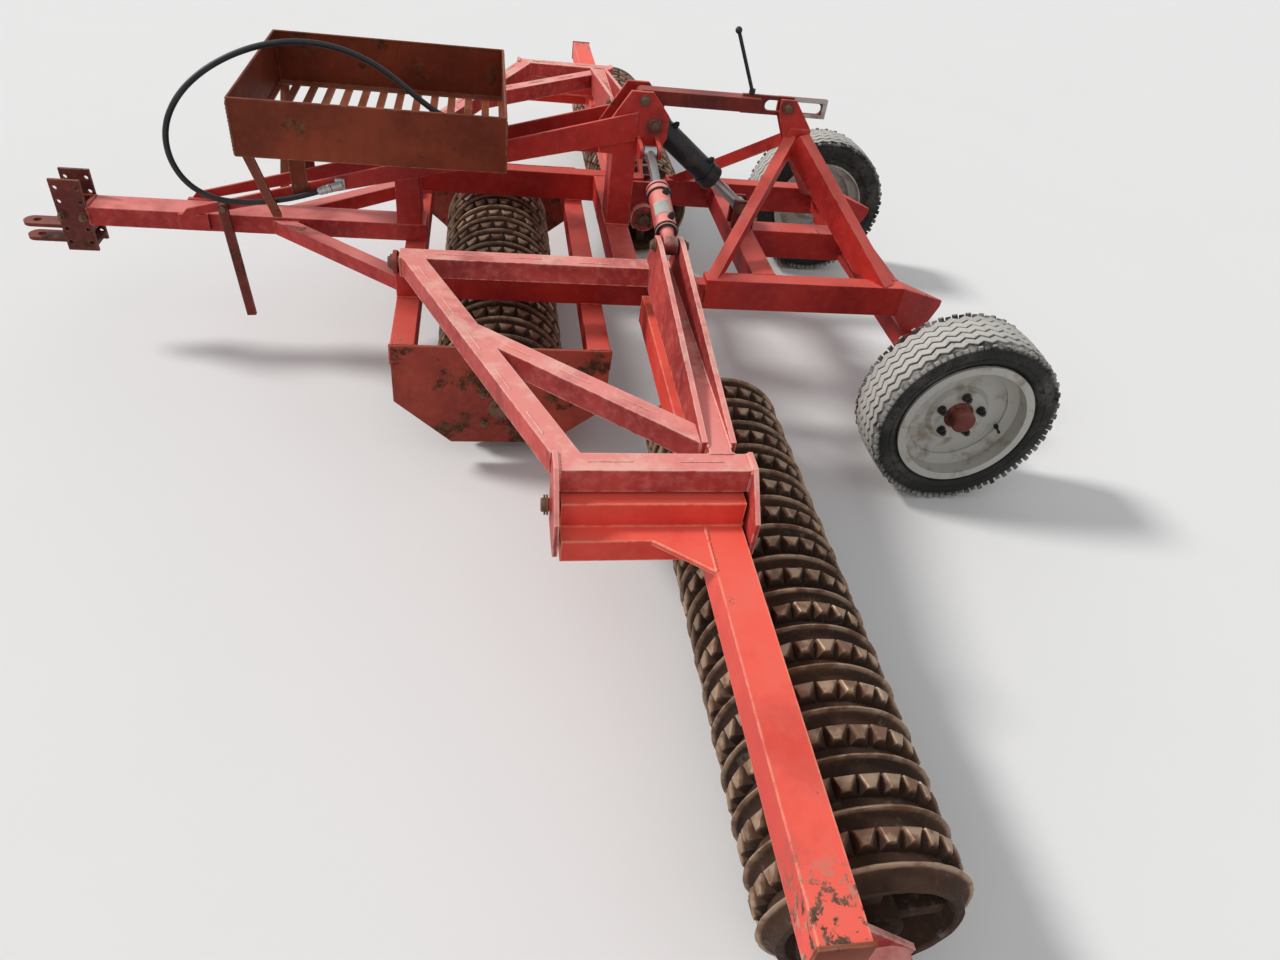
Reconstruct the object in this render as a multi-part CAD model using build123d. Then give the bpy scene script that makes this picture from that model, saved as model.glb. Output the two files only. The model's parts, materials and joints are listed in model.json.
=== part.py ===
from build123d import *
import math
import os

os.makedirs("parts", exist_ok=True)

# A three-section ring roller, in millimetres. Its drawbar points along -X, +Y is its far side,
# and the ground is at z = 0. Both sides are alike, so side is -1 for near and +1 for far.

# Ring packs
ring_radius = 205.0
ring_root_radius = 175.0
ring_width = 66.0
star_radius = 200.0
star_width = 38.0
star_teeth = 26
star_root_length = 36.0
star_tip_length = 24.0
star_tip_width = 20.0
star_root_overlap = 6.0
wing_ring_count = 15
centre_ring_count = 13
roller_axle_radius = 25.0
collar_radius = 42.0
collar_length = 20.0
hub_recess_radius = 140.0
hub_radius = 62.0
hub_recess_depth = 46.0
bearing_clearance = 0.3
bearing_radius = 58.0
bearing_length = 30.0
centre_axle_x = -105.0
wing_axle_x = 536.0
wing_rings_inner_y = 800.0

# Centre frame
beam_outer_y = 440.0
beam_width = 60.0
ring_gap = 6.0
beam_height = 104.0
frame_front_x = -424.0
frame_rear_x = 450.0
cross_tube_size = 70.0
rear_cross_tube_x = 145.0
tower_base_x = 255.0
tower_base_height = 90.0
side_plate_inner_y = 710.0
side_plate_thickness = 10.0
side_plate_rear_x = 215.0
side_plate_bottom_z = 72.0

# Drawbar and hitch
drawbar_width = 100.0
drawbar_height = 62.0
drawbar_front_x = -1405.0
brace_v_size = 50.0
brace_v_front_x = -830.0
hitch_plate_length = 90.0
hitch_plate_bottom_z = 328.0
hitch_plate_top_z = 563.0
hitch_plate_thickness = 10.0
hitch_hole_radius = 7.0
hitch_hole_pitch = 45.0
hitch_holes = 5
hitch_hole_edge = 14.0
tongue_length = 129.0
tongue_width = 60.0
tongue_thickness = 12.0
tongue_gap = 36.0
tongue_bottom_z = 345.0
tongue_pin_radius = 12.5

# Upper braces and tower
brace_inner_y = 60.0
brace_thickness = 10.0
brace_front_x = -1130.0
brace_front_low_z = 465.0
brace_front_high_z = 500.0
brace_front_chamfer = 30.0
brace_rear_x = 326.0
brace_rear_low_z = 815.0
brace_rear_high_z = 905.0
tower_post_length = 80.0
tower_post_half_width = 60.0
tower_post_top_z = 765.0
cheek_thickness = 12.0
front_post_x = -447.0
front_post_length = 80.0
front_post_top_z = 680.0

# Stone box
box_front_x = -846.0
box_rear_x = -95.0
box_half_width = 348.0
box_bottom_z = 788.0
box_top_z = 945.0
box_wall = 5.0
box_slots = 13
box_slot_width = 32.0
box_slot_end = 40.0
box_leg_x = -765.0
box_leg_width = 50.0
box_leg_thickness = 8.0
box_stay_width = 28.0
box_stay_thickness = 10.0

# Wings
wing_tube = 60.0
wing_hinge_y = 546.0
wing_hinge_z = 588.0
wing_front_x = -396.0
wing_rear_x = 430.0
wing_outer_y = 1510.0
wing_outer_front_x = 0.0
wing_outer_rear_x = 424.0
wing_pin_radius = 16.0
lug_thickness = 12.0
lug_gap = 6.0
lug_radius = 34.0
diagonal_joint = 0.42
diagonal_width = 55.0
cylinder_plane_x = 365.0
wing_lever_y = 620.0
wing_lever_z = 715.0
lever_thickness = 14.0
lever_gap = 52.0
lever_end_gap = 30.0
end_plate_thickness = 12.0
end_plate_bottom_z = 450.0
end_plate_reach = 90.0

# Gangs
gang_beam_width = 88.0
gang_beam_x = 330.0
gang_beam_top_z = 484.0
gang_inner_y = 500.0
gang_end_reach = 119.0
pivot_inset = 5.0
pivot_tube_width = 70.0
pivot_tube_height = 64.0
gang_brace_size = 60.0
gang_brace_lap = 12.0
pivot_pin_radius = 15.0
gusset_thickness = 12.0
bracket_thickness = 12.0

# Wheel frame
wheel_hinge_x = 490.0
fork_thickness = 12.0
fork_radius = 42.0
eye_radius = 34.0
eye_side_gap = 5.0
hinge_pin_radius = 15.0
rear_beam_front_x = 545.0
rear_beam_rear_x = 1223.0
mid_beam_width = 80.0
front_cross_x = 710.0
rear_cross_x = 1143.0
cross_beam_size = 80.0
axle_x = 1324.0
axle_beam_size = 70.0
axle_beam_half = 660.0
leg_width = 80.0
leg_depth = 50.0
front_leg_size = 38.0
a_top_x = 890.0
a_top_z = 878.0
lift_lever_x = 735.0
lift_lever_z = 592.0
lift_lever_gap = 46.0

# Wheels
tyre_radius = 300.0
tyre_width = 195.0
wheel_y = 815.0
rim_radius = 198.0
rim_flange_radius = 217.0
rim_flange_width = 10.0
rim_wall = 6.0
rim_inset = 16.0
wheel_disc_depth = 62.0
wheel_disc_thickness = 8.0
wheel_well_radius = 168.0
wheel_well_half = 26.0
wheel_well_slope = 16.0
wheel_face_radius = 96.0
wheel_face_step = 14.0
wheel_hub_radius = 58.0
wheel_hub_length = 90.0
wheel_stub_radius = 28.0
wheel_bolt_circle = 70.0
wheel_bolt_radius = 9.0
wheel_bolts = 5

# Cylinders, and the stay that locks the wheel frame
lift_pin_x = 385.0
lift_pin_z = 866.0
lift_barrel_radius = 40.0
lift_rod_radius = 19.0
lift_barrel_length = 300.0
tower_lug_y = 140.0
tower_lug_z = 806.0
wing_barrel_radius = 33.0
wing_rod_radius = 15.0
wing_barrel_length = 275.0
wing_rod_inside = 243.0
open_eye_clearance = 1.5
lift_rod_inside = 90.0
lift_neck = 34.0
wing_neck = 62.0
cylinder_eye_width = 40.0
cylinder_eye_radius = 26.0
cylinder_pin_radius = 11.0
cylinder_head = 34.0
rod_clearance = 0.3
stay_pin_x = 345.0
stay_pin_z = 940.0
stay_depth = 44.0
stay_width = 50.0
stay_channel_end_x = 735.0
stay_plate_end_x = 968.0
stay_plate_height = 60.0
stay_plate_thickness = 10.0
stay_slot_half = 17.0
stay_slot_front_x = 772.0
slot_pin_x = 830.0
slot_pin_radius = 12.0

# Parking stand
stand_setback = 147.0
stand_z = 516.0
stand_lean_deg = 4.0
stand_length = 385.0
stand_width = 30.0
stand_thickness = 16.0
stand_inner_y = 79.0
stand_pin_radius = 10.0

# Hose that is stowed in the stone box
hose_radius = 9.0
hose_points = [
    (-640.0, -84.0, 604.0),
    (-730.0, -93.0, 574.0),
    (-820.0, -95.0, 553.0),
    (-910.0, -106.0, 546.0),
    (-998.0, -122.0, 560.0),
    (-1070.0, -119.0, 606.0),
    (-1108.0, -102.0, 680.0),
    (-1106.0, -78.0, 764.0),
    (-1062.0, -52.0, 844.0),
    (-990.0, -32.0, 910.0),
    (-902.0, -18.0, 961.0),
    (-806.0, -10.0, 997.0),
    (-708.0, -8.0, 1014.0),
    (-608.0, -14.0, 1011.0),
    (-512.0, -26.0, 986.0),
    (-426.0, -42.0, 940.0),
    (-350.0, -58.0, 884.0),
    (-286.0, -70.0, 846.0),
    (-214.0, -78.0, 828.0),
]
coupler_length = 70.0
coupler_radius = 15.0

# Places that follow from the sizes above
beam_bottom_z = 2 * ring_radius + ring_gap
beam_top_z = beam_bottom_z + beam_height
cross_tube_top_z = beam_bottom_z
drawbar_bottom_z = cross_tube_top_z
drawbar_top_z = drawbar_bottom_z + drawbar_height
beam_inner_y = beam_outer_y - beam_width
wing_outer_inner_y = wing_outer_y - wing_tube
gang_beam_bottom_z = gang_beam_top_z - gang_beam_width
slot_pin_z = stay_pin_z
wheel_hinge_z = beam_bottom_z + beam_height / 2
pivot_z = gang_beam_top_z + pivot_tube_height / 2
ring_axle_z = ring_radius
wing_pack_width = wing_ring_count * ring_width + (wing_ring_count - 1) * star_width
centre_pack_width = centre_ring_count * ring_width + (centre_ring_count - 1) * star_width
gang_outer_y = wing_rings_inner_y + wing_pack_width + gang_end_reach
pivot_y = wing_outer_y - pivot_inset
end_plate_outer_y = wing_outer_y + end_plate_reach
stand_x = brace_front_x + stand_setback
trim_reach = 1500.0


def block(x0, x1, y0, y1, z0, z1):
    """A straight-sided block between two corners."""
    size = Box(abs(x1 - x0), abs(y1 - y0), abs(z1 - z0))
    return Pos((x0 + x1) / 2, (y0 + y1) / 2, (z0 + z1) / 2) * size


def side_block(side, x0, x1, y0, y1, z0, z1):
    """A block whose y values are given for the far side."""
    return block(x0, x1, side * y0, side * y1, z0, z1)


def plate_xz(points, y0, y1):
    """A plate cut in the XZ plane, from y0 to y1."""
    outline = make_face(Plane.XZ * Polyline(*points, close=True))
    return Pos(0, min(y0, y1), 0) * extrude(outline, amount=abs(y1 - y0), dir=(0, 1, 0))


def plate_yz(points, x0, x1):
    """A plate cut in the YZ plane, from x0 to x1."""
    outline = make_face(Plane.YZ * Polyline(*points, close=True))
    return Pos(min(x0, x1), 0, 0) * extrude(outline, amount=abs(x1 - x0), dir=(1, 0, 0))


def plate_xy(points, z0, z1):
    """A plate cut in the XY plane, from z0 to z1."""
    outline = make_face(Polyline(*points, close=True))
    return Pos(0, 0, min(z0, z1)) * extrude(outline, amount=abs(z1 - z0), dir=(0, 0, 1))


def rod_y(x, z, radius, y0, y1):
    """A round bar along Y."""
    length = abs(y1 - y0)
    return Pos(x, (y0 + y1) / 2, z) * Rot(90, 0, 0) * Cylinder(radius, length)


def rod_x(y, z, radius, x0, x1):
    """A round bar along X."""
    length = abs(x1 - x0)
    return Pos((x0 + x1) / 2, y, z) * Rot(0, 90, 0) * Cylinder(radius, length)


def bar_between(start, end, width, depth):
    """A rectangular bar from start to end, its width level and its depth upright."""
    along = Vector(*end) - Vector(*start)
    level = along.cross(Vector(0, 0, 1)).normalized()
    section = Plane(origin=start, x_dir=level, z_dir=along)
    return extrude(section * Rectangle(width, depth), amount=along.length)


def rod_between(start, end, radius):
    """A round bar from start to end."""
    along = Vector(*end) - Vector(*start)
    return extrude(Plane(origin=start, z_dir=along) * Circle(radius), amount=along.length)


def hull_plate_yz(round_y, round_z, radius, corners, x0, x1):
    """A lug in the YZ plane that tapers from its corners to a round end."""
    end = Pos(round_y, round_z) * Circle(radius)
    feet = [Pos(y, z) * Circle(1.0) for y, z in corners]
    outline = make_hull((end + feet).edges())
    return Pos(min(x0, x1), 0, 0) * extrude(Plane.YZ * outline, amount=abs(x1 - x0), dir=(1, 0, 0))


def save(solid, name):
    """Writes one sub-part."""
    export_step(solid, f"parts/{name}.step")


def toothed_ring():
    """A star ring of one width, centred on the Y axis from y = 0, with a wedge for each tooth."""
    root_z = ring_root_radius - star_root_overlap
    root = Plane.XY.offset(root_z) * Rectangle(star_root_length, star_width)
    tip = Plane.XY.offset(star_radius) * Rectangle(star_tip_length, star_tip_width)
    tooth = Pos(0, star_width / 2, 0) * loft([root.face(), tip.face()], ruled=True)
    teeth = [Rot(0, index * 360.0 / star_teeth, 0) * tooth for index in range(star_teeth)]
    return rod_y(0, 0, ring_root_radius, 0, star_width) + teeth


def roller(rings, axle_x, first_y, end_reach):
    """Rings threaded on an axle, from first_y towards +Y; the axle reaches past both ends."""
    pitch = ring_width + star_width
    last_y = first_y + rings * pitch - star_width
    outline = [(0, first_y - end_reach), (roller_axle_radius, first_y - end_reach)]
    outline.append((roller_axle_radius, first_y - collar_length))
    outline.append((collar_radius, first_y - collar_length))
    outline.append((collar_radius, first_y))
    for ring in range(rings):
        y = first_y + ring * pitch
        outline.append((ring_root_radius, y))
        outline.append((ring_radius, y + ring_width / 2))
        outline.append((ring_root_radius, y + ring_width))
    outline.append((collar_radius, last_y))
    outline.append((collar_radius, last_y + collar_length))
    outline.append((roller_axle_radius, last_y + collar_length))
    outline.append((roller_axle_radius, last_y + end_reach))
    outline.append((0, last_y + end_reach))
    body = revolve(make_face(Polyline(*outline, close=True)), Axis.Y)
    for y0, y1 in ((first_y, first_y + hub_recess_depth), (last_y - hub_recess_depth, last_y)):
        body -= rod_y(0, 0, hub_recess_radius, y0, y1) - rod_y(0, 0, hub_radius, y0, y1)
    star = toothed_ring()
    body += [Pos(0, first_y + ring * pitch + ring_width, 0) * star for ring in range(rings - 1)]
    return Pos(axle_x, 0, ring_axle_z) * body


def side_beams():
    """Two long beams of the centre frame."""
    beams = [
        side_block(side, frame_front_x, frame_rear_x, beam_inner_y, beam_outer_y, beam_bottom_z, beam_top_z)
        for side in (-1, 1)
    ]
    return Compound(beams)


def cross_tubes():
    """Two tubes under the side beams, out to the side plates, and the beam under the tower."""
    bottom = cross_tube_top_z - cross_tube_size
    reach = side_plate_inner_y
    tubes = [
        block(x, x + cross_tube_size, -reach, reach, bottom, cross_tube_top_z)
        for x in (frame_front_x, rear_cross_tube_x)
    ]
    low = beam_top_z - tower_base_height
    rear = tower_base_x + tower_post_length
    tubes.append(block(tower_base_x, rear, -beam_inner_y, beam_inner_y, low, beam_top_z))
    return Compound(tubes)


def side_plate(side):
    """Six-sided plate that closes the centre ring pack, with its bearing inside."""
    outline = [
        (frame_front_x, cross_tube_top_z),
        (side_plate_rear_x, cross_tube_top_z),
        (side_plate_rear_x, side_plate_bottom_z + 135.0),
        (side_plate_rear_x - 170.0, side_plate_bottom_z),
        (frame_front_x + 165.0, side_plate_bottom_z),
        (frame_front_x, side_plate_bottom_z + 150.0),
    ]
    inner = side * side_plate_inner_y
    outer = side * (side_plate_inner_y + side_plate_thickness)
    plate = plate_xz(outline, inner, outer)
    cup = side * (side_plate_inner_y - bearing_length)
    housing = rod_y(centre_axle_x, ring_axle_z, bearing_radius, cup, inner)
    housing -= rod_y(centre_axle_x, ring_axle_z, roller_axle_radius + bearing_clearance, cup, inner)
    return plate + housing


def drawbar():
    """Drawbar tube with its two V braces to the side beams."""
    half = drawbar_width / 2
    rear_x = frame_front_x + cross_tube_size
    tube = block(drawbar_front_x, rear_x, -half, half, drawbar_bottom_z, drawbar_top_z)
    middle_z = drawbar_bottom_z + brace_v_size / 2
    for side in (-1, 1):
        start = (brace_v_front_x, side * half * 0.6, middle_z)
        end = (frame_front_x + brace_v_size, side * (beam_inner_y + beam_width / 2), middle_z)
        brace = bar_between(start, end, brace_v_size, brace_v_size)
        brace -= block(frame_front_x, frame_rear_x, -beam_outer_y * 2, beam_outer_y * 2, 0, beam_top_z * 2)
        tube += brace
    return tube


def hitch():
    """Two drilled plates on the drawbar's head, and the two tongues that take the pin."""
    half = drawbar_width / 2
    front = drawbar_front_x - hitch_plate_length
    parts = []
    for side in (-1, 1):
        plate = side_block(
            side, front, drawbar_front_x, half - hitch_plate_thickness, half,
            hitch_plate_bottom_z, hitch_plate_top_z,
        )
        for x in (front + hitch_hole_edge, drawbar_front_x - hitch_hole_edge):
            for row in range(hitch_holes):
                z = hitch_plate_bottom_z + 28.0 + row * hitch_hole_pitch
                plate -= rod_y(x, z, hitch_hole_radius, side * (half - hitch_plate_thickness), side * half)
        parts.append(plate)
    inner = half - hitch_plate_thickness
    for z in (tongue_bottom_z, tongue_bottom_z + tongue_thickness + tongue_gap):
        tongue = block(front - tongue_length, front, -tongue_width / 2, tongue_width / 2, z, z + tongue_thickness)
        corners = tongue.edges().filter_by(Axis.Z).group_by(Axis.X)[0]
        tongue = fillet(corners, tongue_width / 2 - 1.0)
        tongue -= Pos(front - tongue_length + 40.0, 0, z) * Cylinder(tongue_pin_radius, 4 * tongue_thickness)
        parts.append(tongue + block(front, drawbar_front_x, -inner, inner, z, z + tongue_thickness))
    head = block(drawbar_front_x - 12.0, drawbar_front_x, -inner, inner, drawbar_bottom_z + 10.0, drawbar_top_z)
    parts.append(head)
    whole = parts[0]
    for piece in parts[1:]:
        whole += piece
    return whole


def upper_brace(side):
    """Tapered flat from the drawbar up to the tower."""
    outline = [
        (brace_front_x, brace_front_low_z),
        (brace_front_x + brace_front_chamfer, brace_front_high_z),
        (brace_rear_x, brace_rear_high_z),
        (brace_rear_x, brace_rear_low_z),
    ]
    flat = plate_xz(outline, side * brace_inner_y, side * (brace_inner_y + brace_thickness))
    pad = side_block(
        side, brace_front_x, brace_front_x + 90.0, drawbar_width / 2, brace_inner_y,
        drawbar_bottom_z + 10.0, brace_front_low_z + 15.0,
    )
    tie = side_block(
        side, brace_front_x, brace_front_x + 90.0, brace_inner_y, brace_inner_y + brace_thickness,
        drawbar_bottom_z + 10.0, brace_front_low_z + 15.0,
    )
    return flat + pad + tie


def front_post():
    """Post on the drawbar's rear end that carries the braces at half length."""
    return block(
        front_post_x, front_post_x + front_post_length, -brace_inner_y, brace_inner_y,
        drawbar_top_z, front_post_top_z,
    )


def tower():
    """Rear post with the two cheeks that hold the cylinder, the stay and the wing cylinders."""
    rear = tower_base_x + tower_post_length
    post = block(tower_base_x, rear, -tower_post_half_width, tower_post_half_width, beam_top_z, tower_post_top_z)
    cheek_outline = [
        (tower_base_x - 45.0, tower_post_top_z),
        (tower_base_x - 45.0, tower_post_top_z + 60.0),
        (stay_pin_x - 45.0, stay_pin_z + 26.0),
        (stay_pin_x + 26.0, stay_pin_z + 26.0),
        (lift_pin_x + 45.0, lift_pin_z + 30.0),
        (lift_pin_x + 45.0, lift_pin_z - 40.0),
        (rear + 65.0, tower_post_top_z),
    ]
    body = post
    inner = brace_inner_y - cheek_thickness
    for side in (-1, 1):
        body += plate_xz(cheek_outline, side * inner, side * brace_inner_y)
        root = side * (brace_inner_y - cheek_thickness / 2)
        for edge in (-1, 1):
            near = cylinder_plane_x + edge * (cylinder_eye_width / 2 + 4.0)
            far = near + edge * cheek_thickness
            feet = [(root, tower_lug_z + 20.0), (root, tower_lug_z - 24.0)]
            lug = hull_plate_yz(side * tower_lug_y, tower_lug_z, 22.0, feet, near, far)
            body += lug
    body += rod_y(lift_pin_x, lift_pin_z, cylinder_pin_radius + 3.0, -brace_inner_y - 14.0, brace_inner_y + 14.0)
    body += rod_y(stay_pin_x, stay_pin_z, cylinder_pin_radius, -brace_inner_y - 14.0, brace_inner_y + 14.0)
    return body


def stone_box():
    """Open sheet box with a slotted floor."""
    shell_outer = block(box_front_x, box_rear_x, -box_half_width, box_half_width, box_bottom_z, box_top_z)
    shell_inner = block(
        box_front_x + box_wall, box_rear_x - box_wall, -box_half_width + box_wall, box_half_width - box_wall,
        box_bottom_z + box_wall, box_top_z,
    )
    body = shell_outer - shell_inner
    pitch = (box_rear_x - box_front_x - 2 * box_wall) / box_slots
    reach = box_half_width - box_slot_end
    for slot in range(box_slots):
        middle = box_front_x + box_wall + (slot + 0.5) * pitch
        low = box_bottom_z - 1.0
        high = box_bottom_z + box_wall + 1.0
        body -= block(middle - box_slot_width / 2, middle + box_slot_width / 2, -reach, reach, low, high)
    return body


def box_supports():
    """Legs on the braces and two stays from the drawbar to the box's front corners."""
    parts = []
    outer = brace_inner_y + brace_thickness
    for side in (-1, 1):
        parts.append(side_block(
            side, box_leg_x, box_leg_x + box_leg_width, outer, outer + box_leg_thickness, 570.0, box_bottom_z,
        ))
        parts.append(side_block(side, -150.0, -105.0, outer, outer + box_leg_thickness, 720.0, box_bottom_z))
        start = (box_front_x + 22.0, side * (box_half_width - 16.0), box_bottom_z + 20.0)
        end = (box_front_x + 22.0, side * (drawbar_width / 2 - 14.0), drawbar_top_z - 24.0)
        stay = bar_between(start, end, box_stay_width, box_stay_thickness)
        stay -= block(-trim_reach, 0, -trim_reach, trim_reach, box_bottom_z, trim_reach)
        stay -= block(-trim_reach, 0, -drawbar_width / 2, drawbar_width / 2, 0, drawbar_top_z)
        stay -= side_block(side, -trim_reach, 0, 0, outer, 0, box_top_z)
        parts.append(stay)
    return Compound(parts)


def wing_lugs(side):
    """Two lugs on a side beam that carry a wing's hinge."""
    lugs = []
    for x in (wing_front_x - lug_gap - lug_thickness, wing_rear_x + lug_gap):
        feet = [(side * (beam_outer_y - 1.0), beam_top_z + 1.0), (side * (beam_inner_y + 1.0), beam_top_z + 1.0)]
        lug = hull_plate_yz(side * wing_hinge_y, wing_hinge_z, lug_radius, feet, x, x + lug_thickness)
        lug -= rod_x(side * wing_hinge_y, wing_hinge_z, wing_pin_radius + bearing_clearance, x, x + lug_thickness)
        lugs.append(lug)
    return Compound(lugs)


def wing_arm(side):
    """Welded wing: hinge tube, outer tube, two diagonals, rear tube and hinge stubs."""
    half = wing_tube / 2
    low = wing_hinge_z - half
    high = wing_hinge_z + half
    arm = side_block(side, wing_front_x, wing_rear_x, wing_hinge_y - half, wing_hinge_y + half, low, high)
    arm += side_block(side, wing_outer_front_x, wing_outer_rear_x, wing_outer_inner_y, wing_outer_y, low, high)
    inner_end = Vector(wing_front_x + half, side * wing_hinge_y, wing_hinge_z)
    outer_end = Vector(wing_outer_front_x + half, side * (wing_outer_y - half), wing_hinge_z)
    arm += bar_between(inner_end, outer_end, wing_tube, wing_tube)
    branch = inner_end + (outer_end - inner_end) * diagonal_joint
    rear_end = Vector(cylinder_plane_x, side * (wing_outer_inner_y - 40.0), wing_hinge_z)
    arm += bar_between(branch, rear_end, diagonal_width, wing_tube)
    rear_half = lever_gap / 2
    arm += side_block(
        side, cylinder_plane_x - rear_half, cylinder_plane_x + rear_half,
        wing_hinge_y, wing_outer_y - half, low, high,
    )
    for edge in (-1, 1):
        near = cylinder_plane_x + edge * rear_half
        far = near + edge * lever_thickness
        arm -= side_block(side, near, far, wing_hinge_y + half, wing_outer_inner_y - lever_end_gap, low, high)
    arm -= side_block(side, wing_front_x, wing_outer_front_x, wing_outer_inner_y, wing_outer_y, low, high)
    arm += rod_x(side * wing_hinge_y, wing_hinge_z, wing_pin_radius, wing_front_x - lug_gap - lug_thickness - 6.0, wing_front_x + 5.0)
    arm += rod_x(side * wing_hinge_y, wing_hinge_z, wing_pin_radius, wing_rear_x - 5.0, wing_rear_x + lug_gap + lug_thickness + 6.0)
    return arm


def wing_levers(side):
    """Two lever plates on the rear tube, with the pin of the wing cylinder between them."""
    half = wing_tube / 2
    outline = [
        (side * (wing_hinge_y - half), wing_hinge_z + half),
        (side * (wing_lever_y - 26.0), wing_lever_z + 18.0),
        (side * (wing_lever_y + 26.0), wing_lever_z + 22.0),
        (side * (wing_outer_inner_y - lever_end_gap), wing_hinge_z + half + 8.0),
        (side * (wing_outer_inner_y - lever_end_gap), wing_hinge_z - half),
        (side * (wing_hinge_y + half), wing_hinge_z - half),
        (side * (wing_hinge_y + half), wing_hinge_z + half),
    ]
    body = None
    for edge in (-1, 1):
        near = cylinder_plane_x + edge * lever_gap / 2
        plate = plate_yz(outline, near, near + edge * lever_thickness)
        body = plate if body is None else body + plate
    reach = lever_gap / 2 + lever_thickness + 8.0
    body += rod_x(side * wing_lever_y, wing_lever_z, cylinder_pin_radius, cylinder_plane_x - reach, cylinder_plane_x + reach)
    return body


def pivot_plates(side):
    """End plates of a wing's outer tube that carry the gang's pivot."""
    half = wing_tube / 2
    plates = []
    high = wing_hinge_z + half + 6.0
    for x in (wing_outer_front_x - end_plate_thickness, wing_outer_rear_x):
        outline = [
            (side * wing_outer_inner_y, high),
            (side * wing_outer_y, high),
            (side * end_plate_outer_y, pivot_z + 24.0),
            (side * end_plate_outer_y, end_plate_bottom_z),
            (side * (pivot_y - 30.0), end_plate_bottom_z),
            (side * wing_outer_inner_y, pivot_z - 10.0),
        ]
        plate = plate_yz(outline, x, x + end_plate_thickness)
        plate -= rod_x(side * pivot_y, pivot_z, pivot_pin_radius + bearing_clearance, x, x + end_plate_thickness)
        plates.append(plate)
    return Compound(plates)


def gang_beam(side):
    """Beam of a wing gang with its pivot tube, pins and gussets."""
    rear_x = gang_beam_x + gang_beam_width
    beam = side_block(side, gang_beam_x, rear_x, gang_inner_y, gang_outer_y, gang_beam_bottom_z, gang_beam_top_z)
    half = pivot_tube_width / 2
    front = wing_outer_front_x + lug_gap
    rear = wing_outer_rear_x - lug_gap
    top = gang_beam_top_z + pivot_tube_height
    beam += side_block(side, front, rear, pivot_y - half, pivot_y + half, gang_beam_top_z, top)
    reach = lug_gap + end_plate_thickness + 6.0
    beam += rod_x(side * pivot_y, pivot_z, pivot_pin_radius, front - reach, rear + reach)
    brace_in = pivot_y + half - gang_brace_lap
    brace_out = brace_in + gang_brace_size
    brace_low = gang_beam_top_z - gang_brace_size
    beam += side_block(side, front, gang_beam_x, brace_in, brace_out, brace_low, gang_beam_top_z)
    gusset = [
        (gang_beam_x, side * brace_out),
        (gang_beam_x, side * (brace_out + 95.0)),
        (gang_beam_x - 125.0, side * brace_out),
    ]
    beam += plate_xy(gusset, gang_beam_top_z - gusset_thickness, gang_beam_top_z)
    return beam


def gang_brackets(side):
    """Plates that hang the ring axle behind the gang beam, each with its bearing."""
    inner_y = wing_rings_inner_y - collar_length - 12.0
    outer_y = wing_rings_inner_y + wing_pack_width + collar_length + 12.0
    brackets = []
    for y, outward in ((inner_y, -1), (outer_y, 1)):
        far = y + outward * bracket_thickness
        outline = [
            (gang_beam_x + 8.0, gang_beam_bottom_z),
            (gang_beam_x + gang_beam_width, gang_beam_bottom_z),
            (wing_axle_x + 62.0, ring_axle_z + 30.0),
            (wing_axle_x + 40.0, ring_axle_z - 55.0),
            (wing_axle_x - 40.0, ring_axle_z - 60.0),
        ]
        plate = plate_xz(outline, side * y, side * far)
        plate += rod_y(wing_axle_x, ring_axle_z, bearing_radius, side * y, side * (far + outward * bearing_length))
        bore = roller_axle_radius + bearing_clearance
        plate -= rod_y(wing_axle_x, ring_axle_z, bore, side * (y - 60.0), side * (y + 60.0))
        brackets.append(plate)
    return Compound(brackets)


def wheel_hinges():
    """Forks on the rear ends of the side beams, with the pins of the wheel frame."""
    forks = []
    for side in (-1, 1):
        fork = None
        for face, outward in ((beam_outer_y, 1), (beam_inner_y, -1)):
            far = face + outward * fork_thickness
            arm = side_block(
                side, 392.0, wheel_hinge_x, face, far, wheel_hinge_z - fork_radius, wheel_hinge_z + fork_radius,
            )
            arm += rod_y(wheel_hinge_x, wheel_hinge_z, fork_radius, side * face, side * far)
            fork = arm if fork is None else fork + arm
        ends = (beam_outer_y + fork_thickness + 8.0, beam_inner_y - fork_thickness - 8.0)
        fork += rod_y(wheel_hinge_x, wheel_hinge_z, hinge_pin_radius, side * ends[0], side * ends[1])
        forks.append(fork)
    return Compound(forks)


def rear_beam(side):
    """Side beam of the wheel frame, with its hinge eye and the tapered shoe on its rear end."""
    beam = side_block(
        side, rear_beam_front_x, rear_beam_rear_x, beam_inner_y, beam_outer_y, beam_bottom_z, beam_top_z,
    )
    near = beam_inner_y + eye_side_gap
    far = beam_outer_y - eye_side_gap
    eye = rod_y(wheel_hinge_x, wheel_hinge_z, eye_radius, side * near, side * far)
    eye += side_block(
        side, wheel_hinge_x, rear_beam_front_x, near, far, wheel_hinge_z - eye_radius, wheel_hinge_z + eye_radius,
    )
    eye -= rod_y(wheel_hinge_x, wheel_hinge_z, hinge_pin_radius + bearing_clearance, side * near, side * far)
    beam += eye
    half = axle_beam_size / 2
    axle_top = tyre_radius + half
    shoe = plate_xz(
        [
            (rear_beam_rear_x, beam_top_z),
            (axle_x + 82.0, beam_top_z - 66.0),
            (axle_x + 82.0, beam_top_z - 88.0),
            (axle_x + half, axle_top),
            (axle_x - half, axle_top),
            (rear_beam_rear_x, beam_bottom_z),
        ],
        side * beam_inner_y, side * beam_outer_y,
    )
    cut = plate_xy(
        [
            (rear_beam_rear_x, side * (beam_outer_y + 1.0)),
            (axle_x + 90.0, side * (beam_outer_y + 1.0)),
            (axle_x + 90.0, side * (beam_inner_y + 6.0)),
        ],
        beam_bottom_z - 100.0, beam_top_z + 10.0,
    )
    return beam + (shoe - cut)


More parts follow.
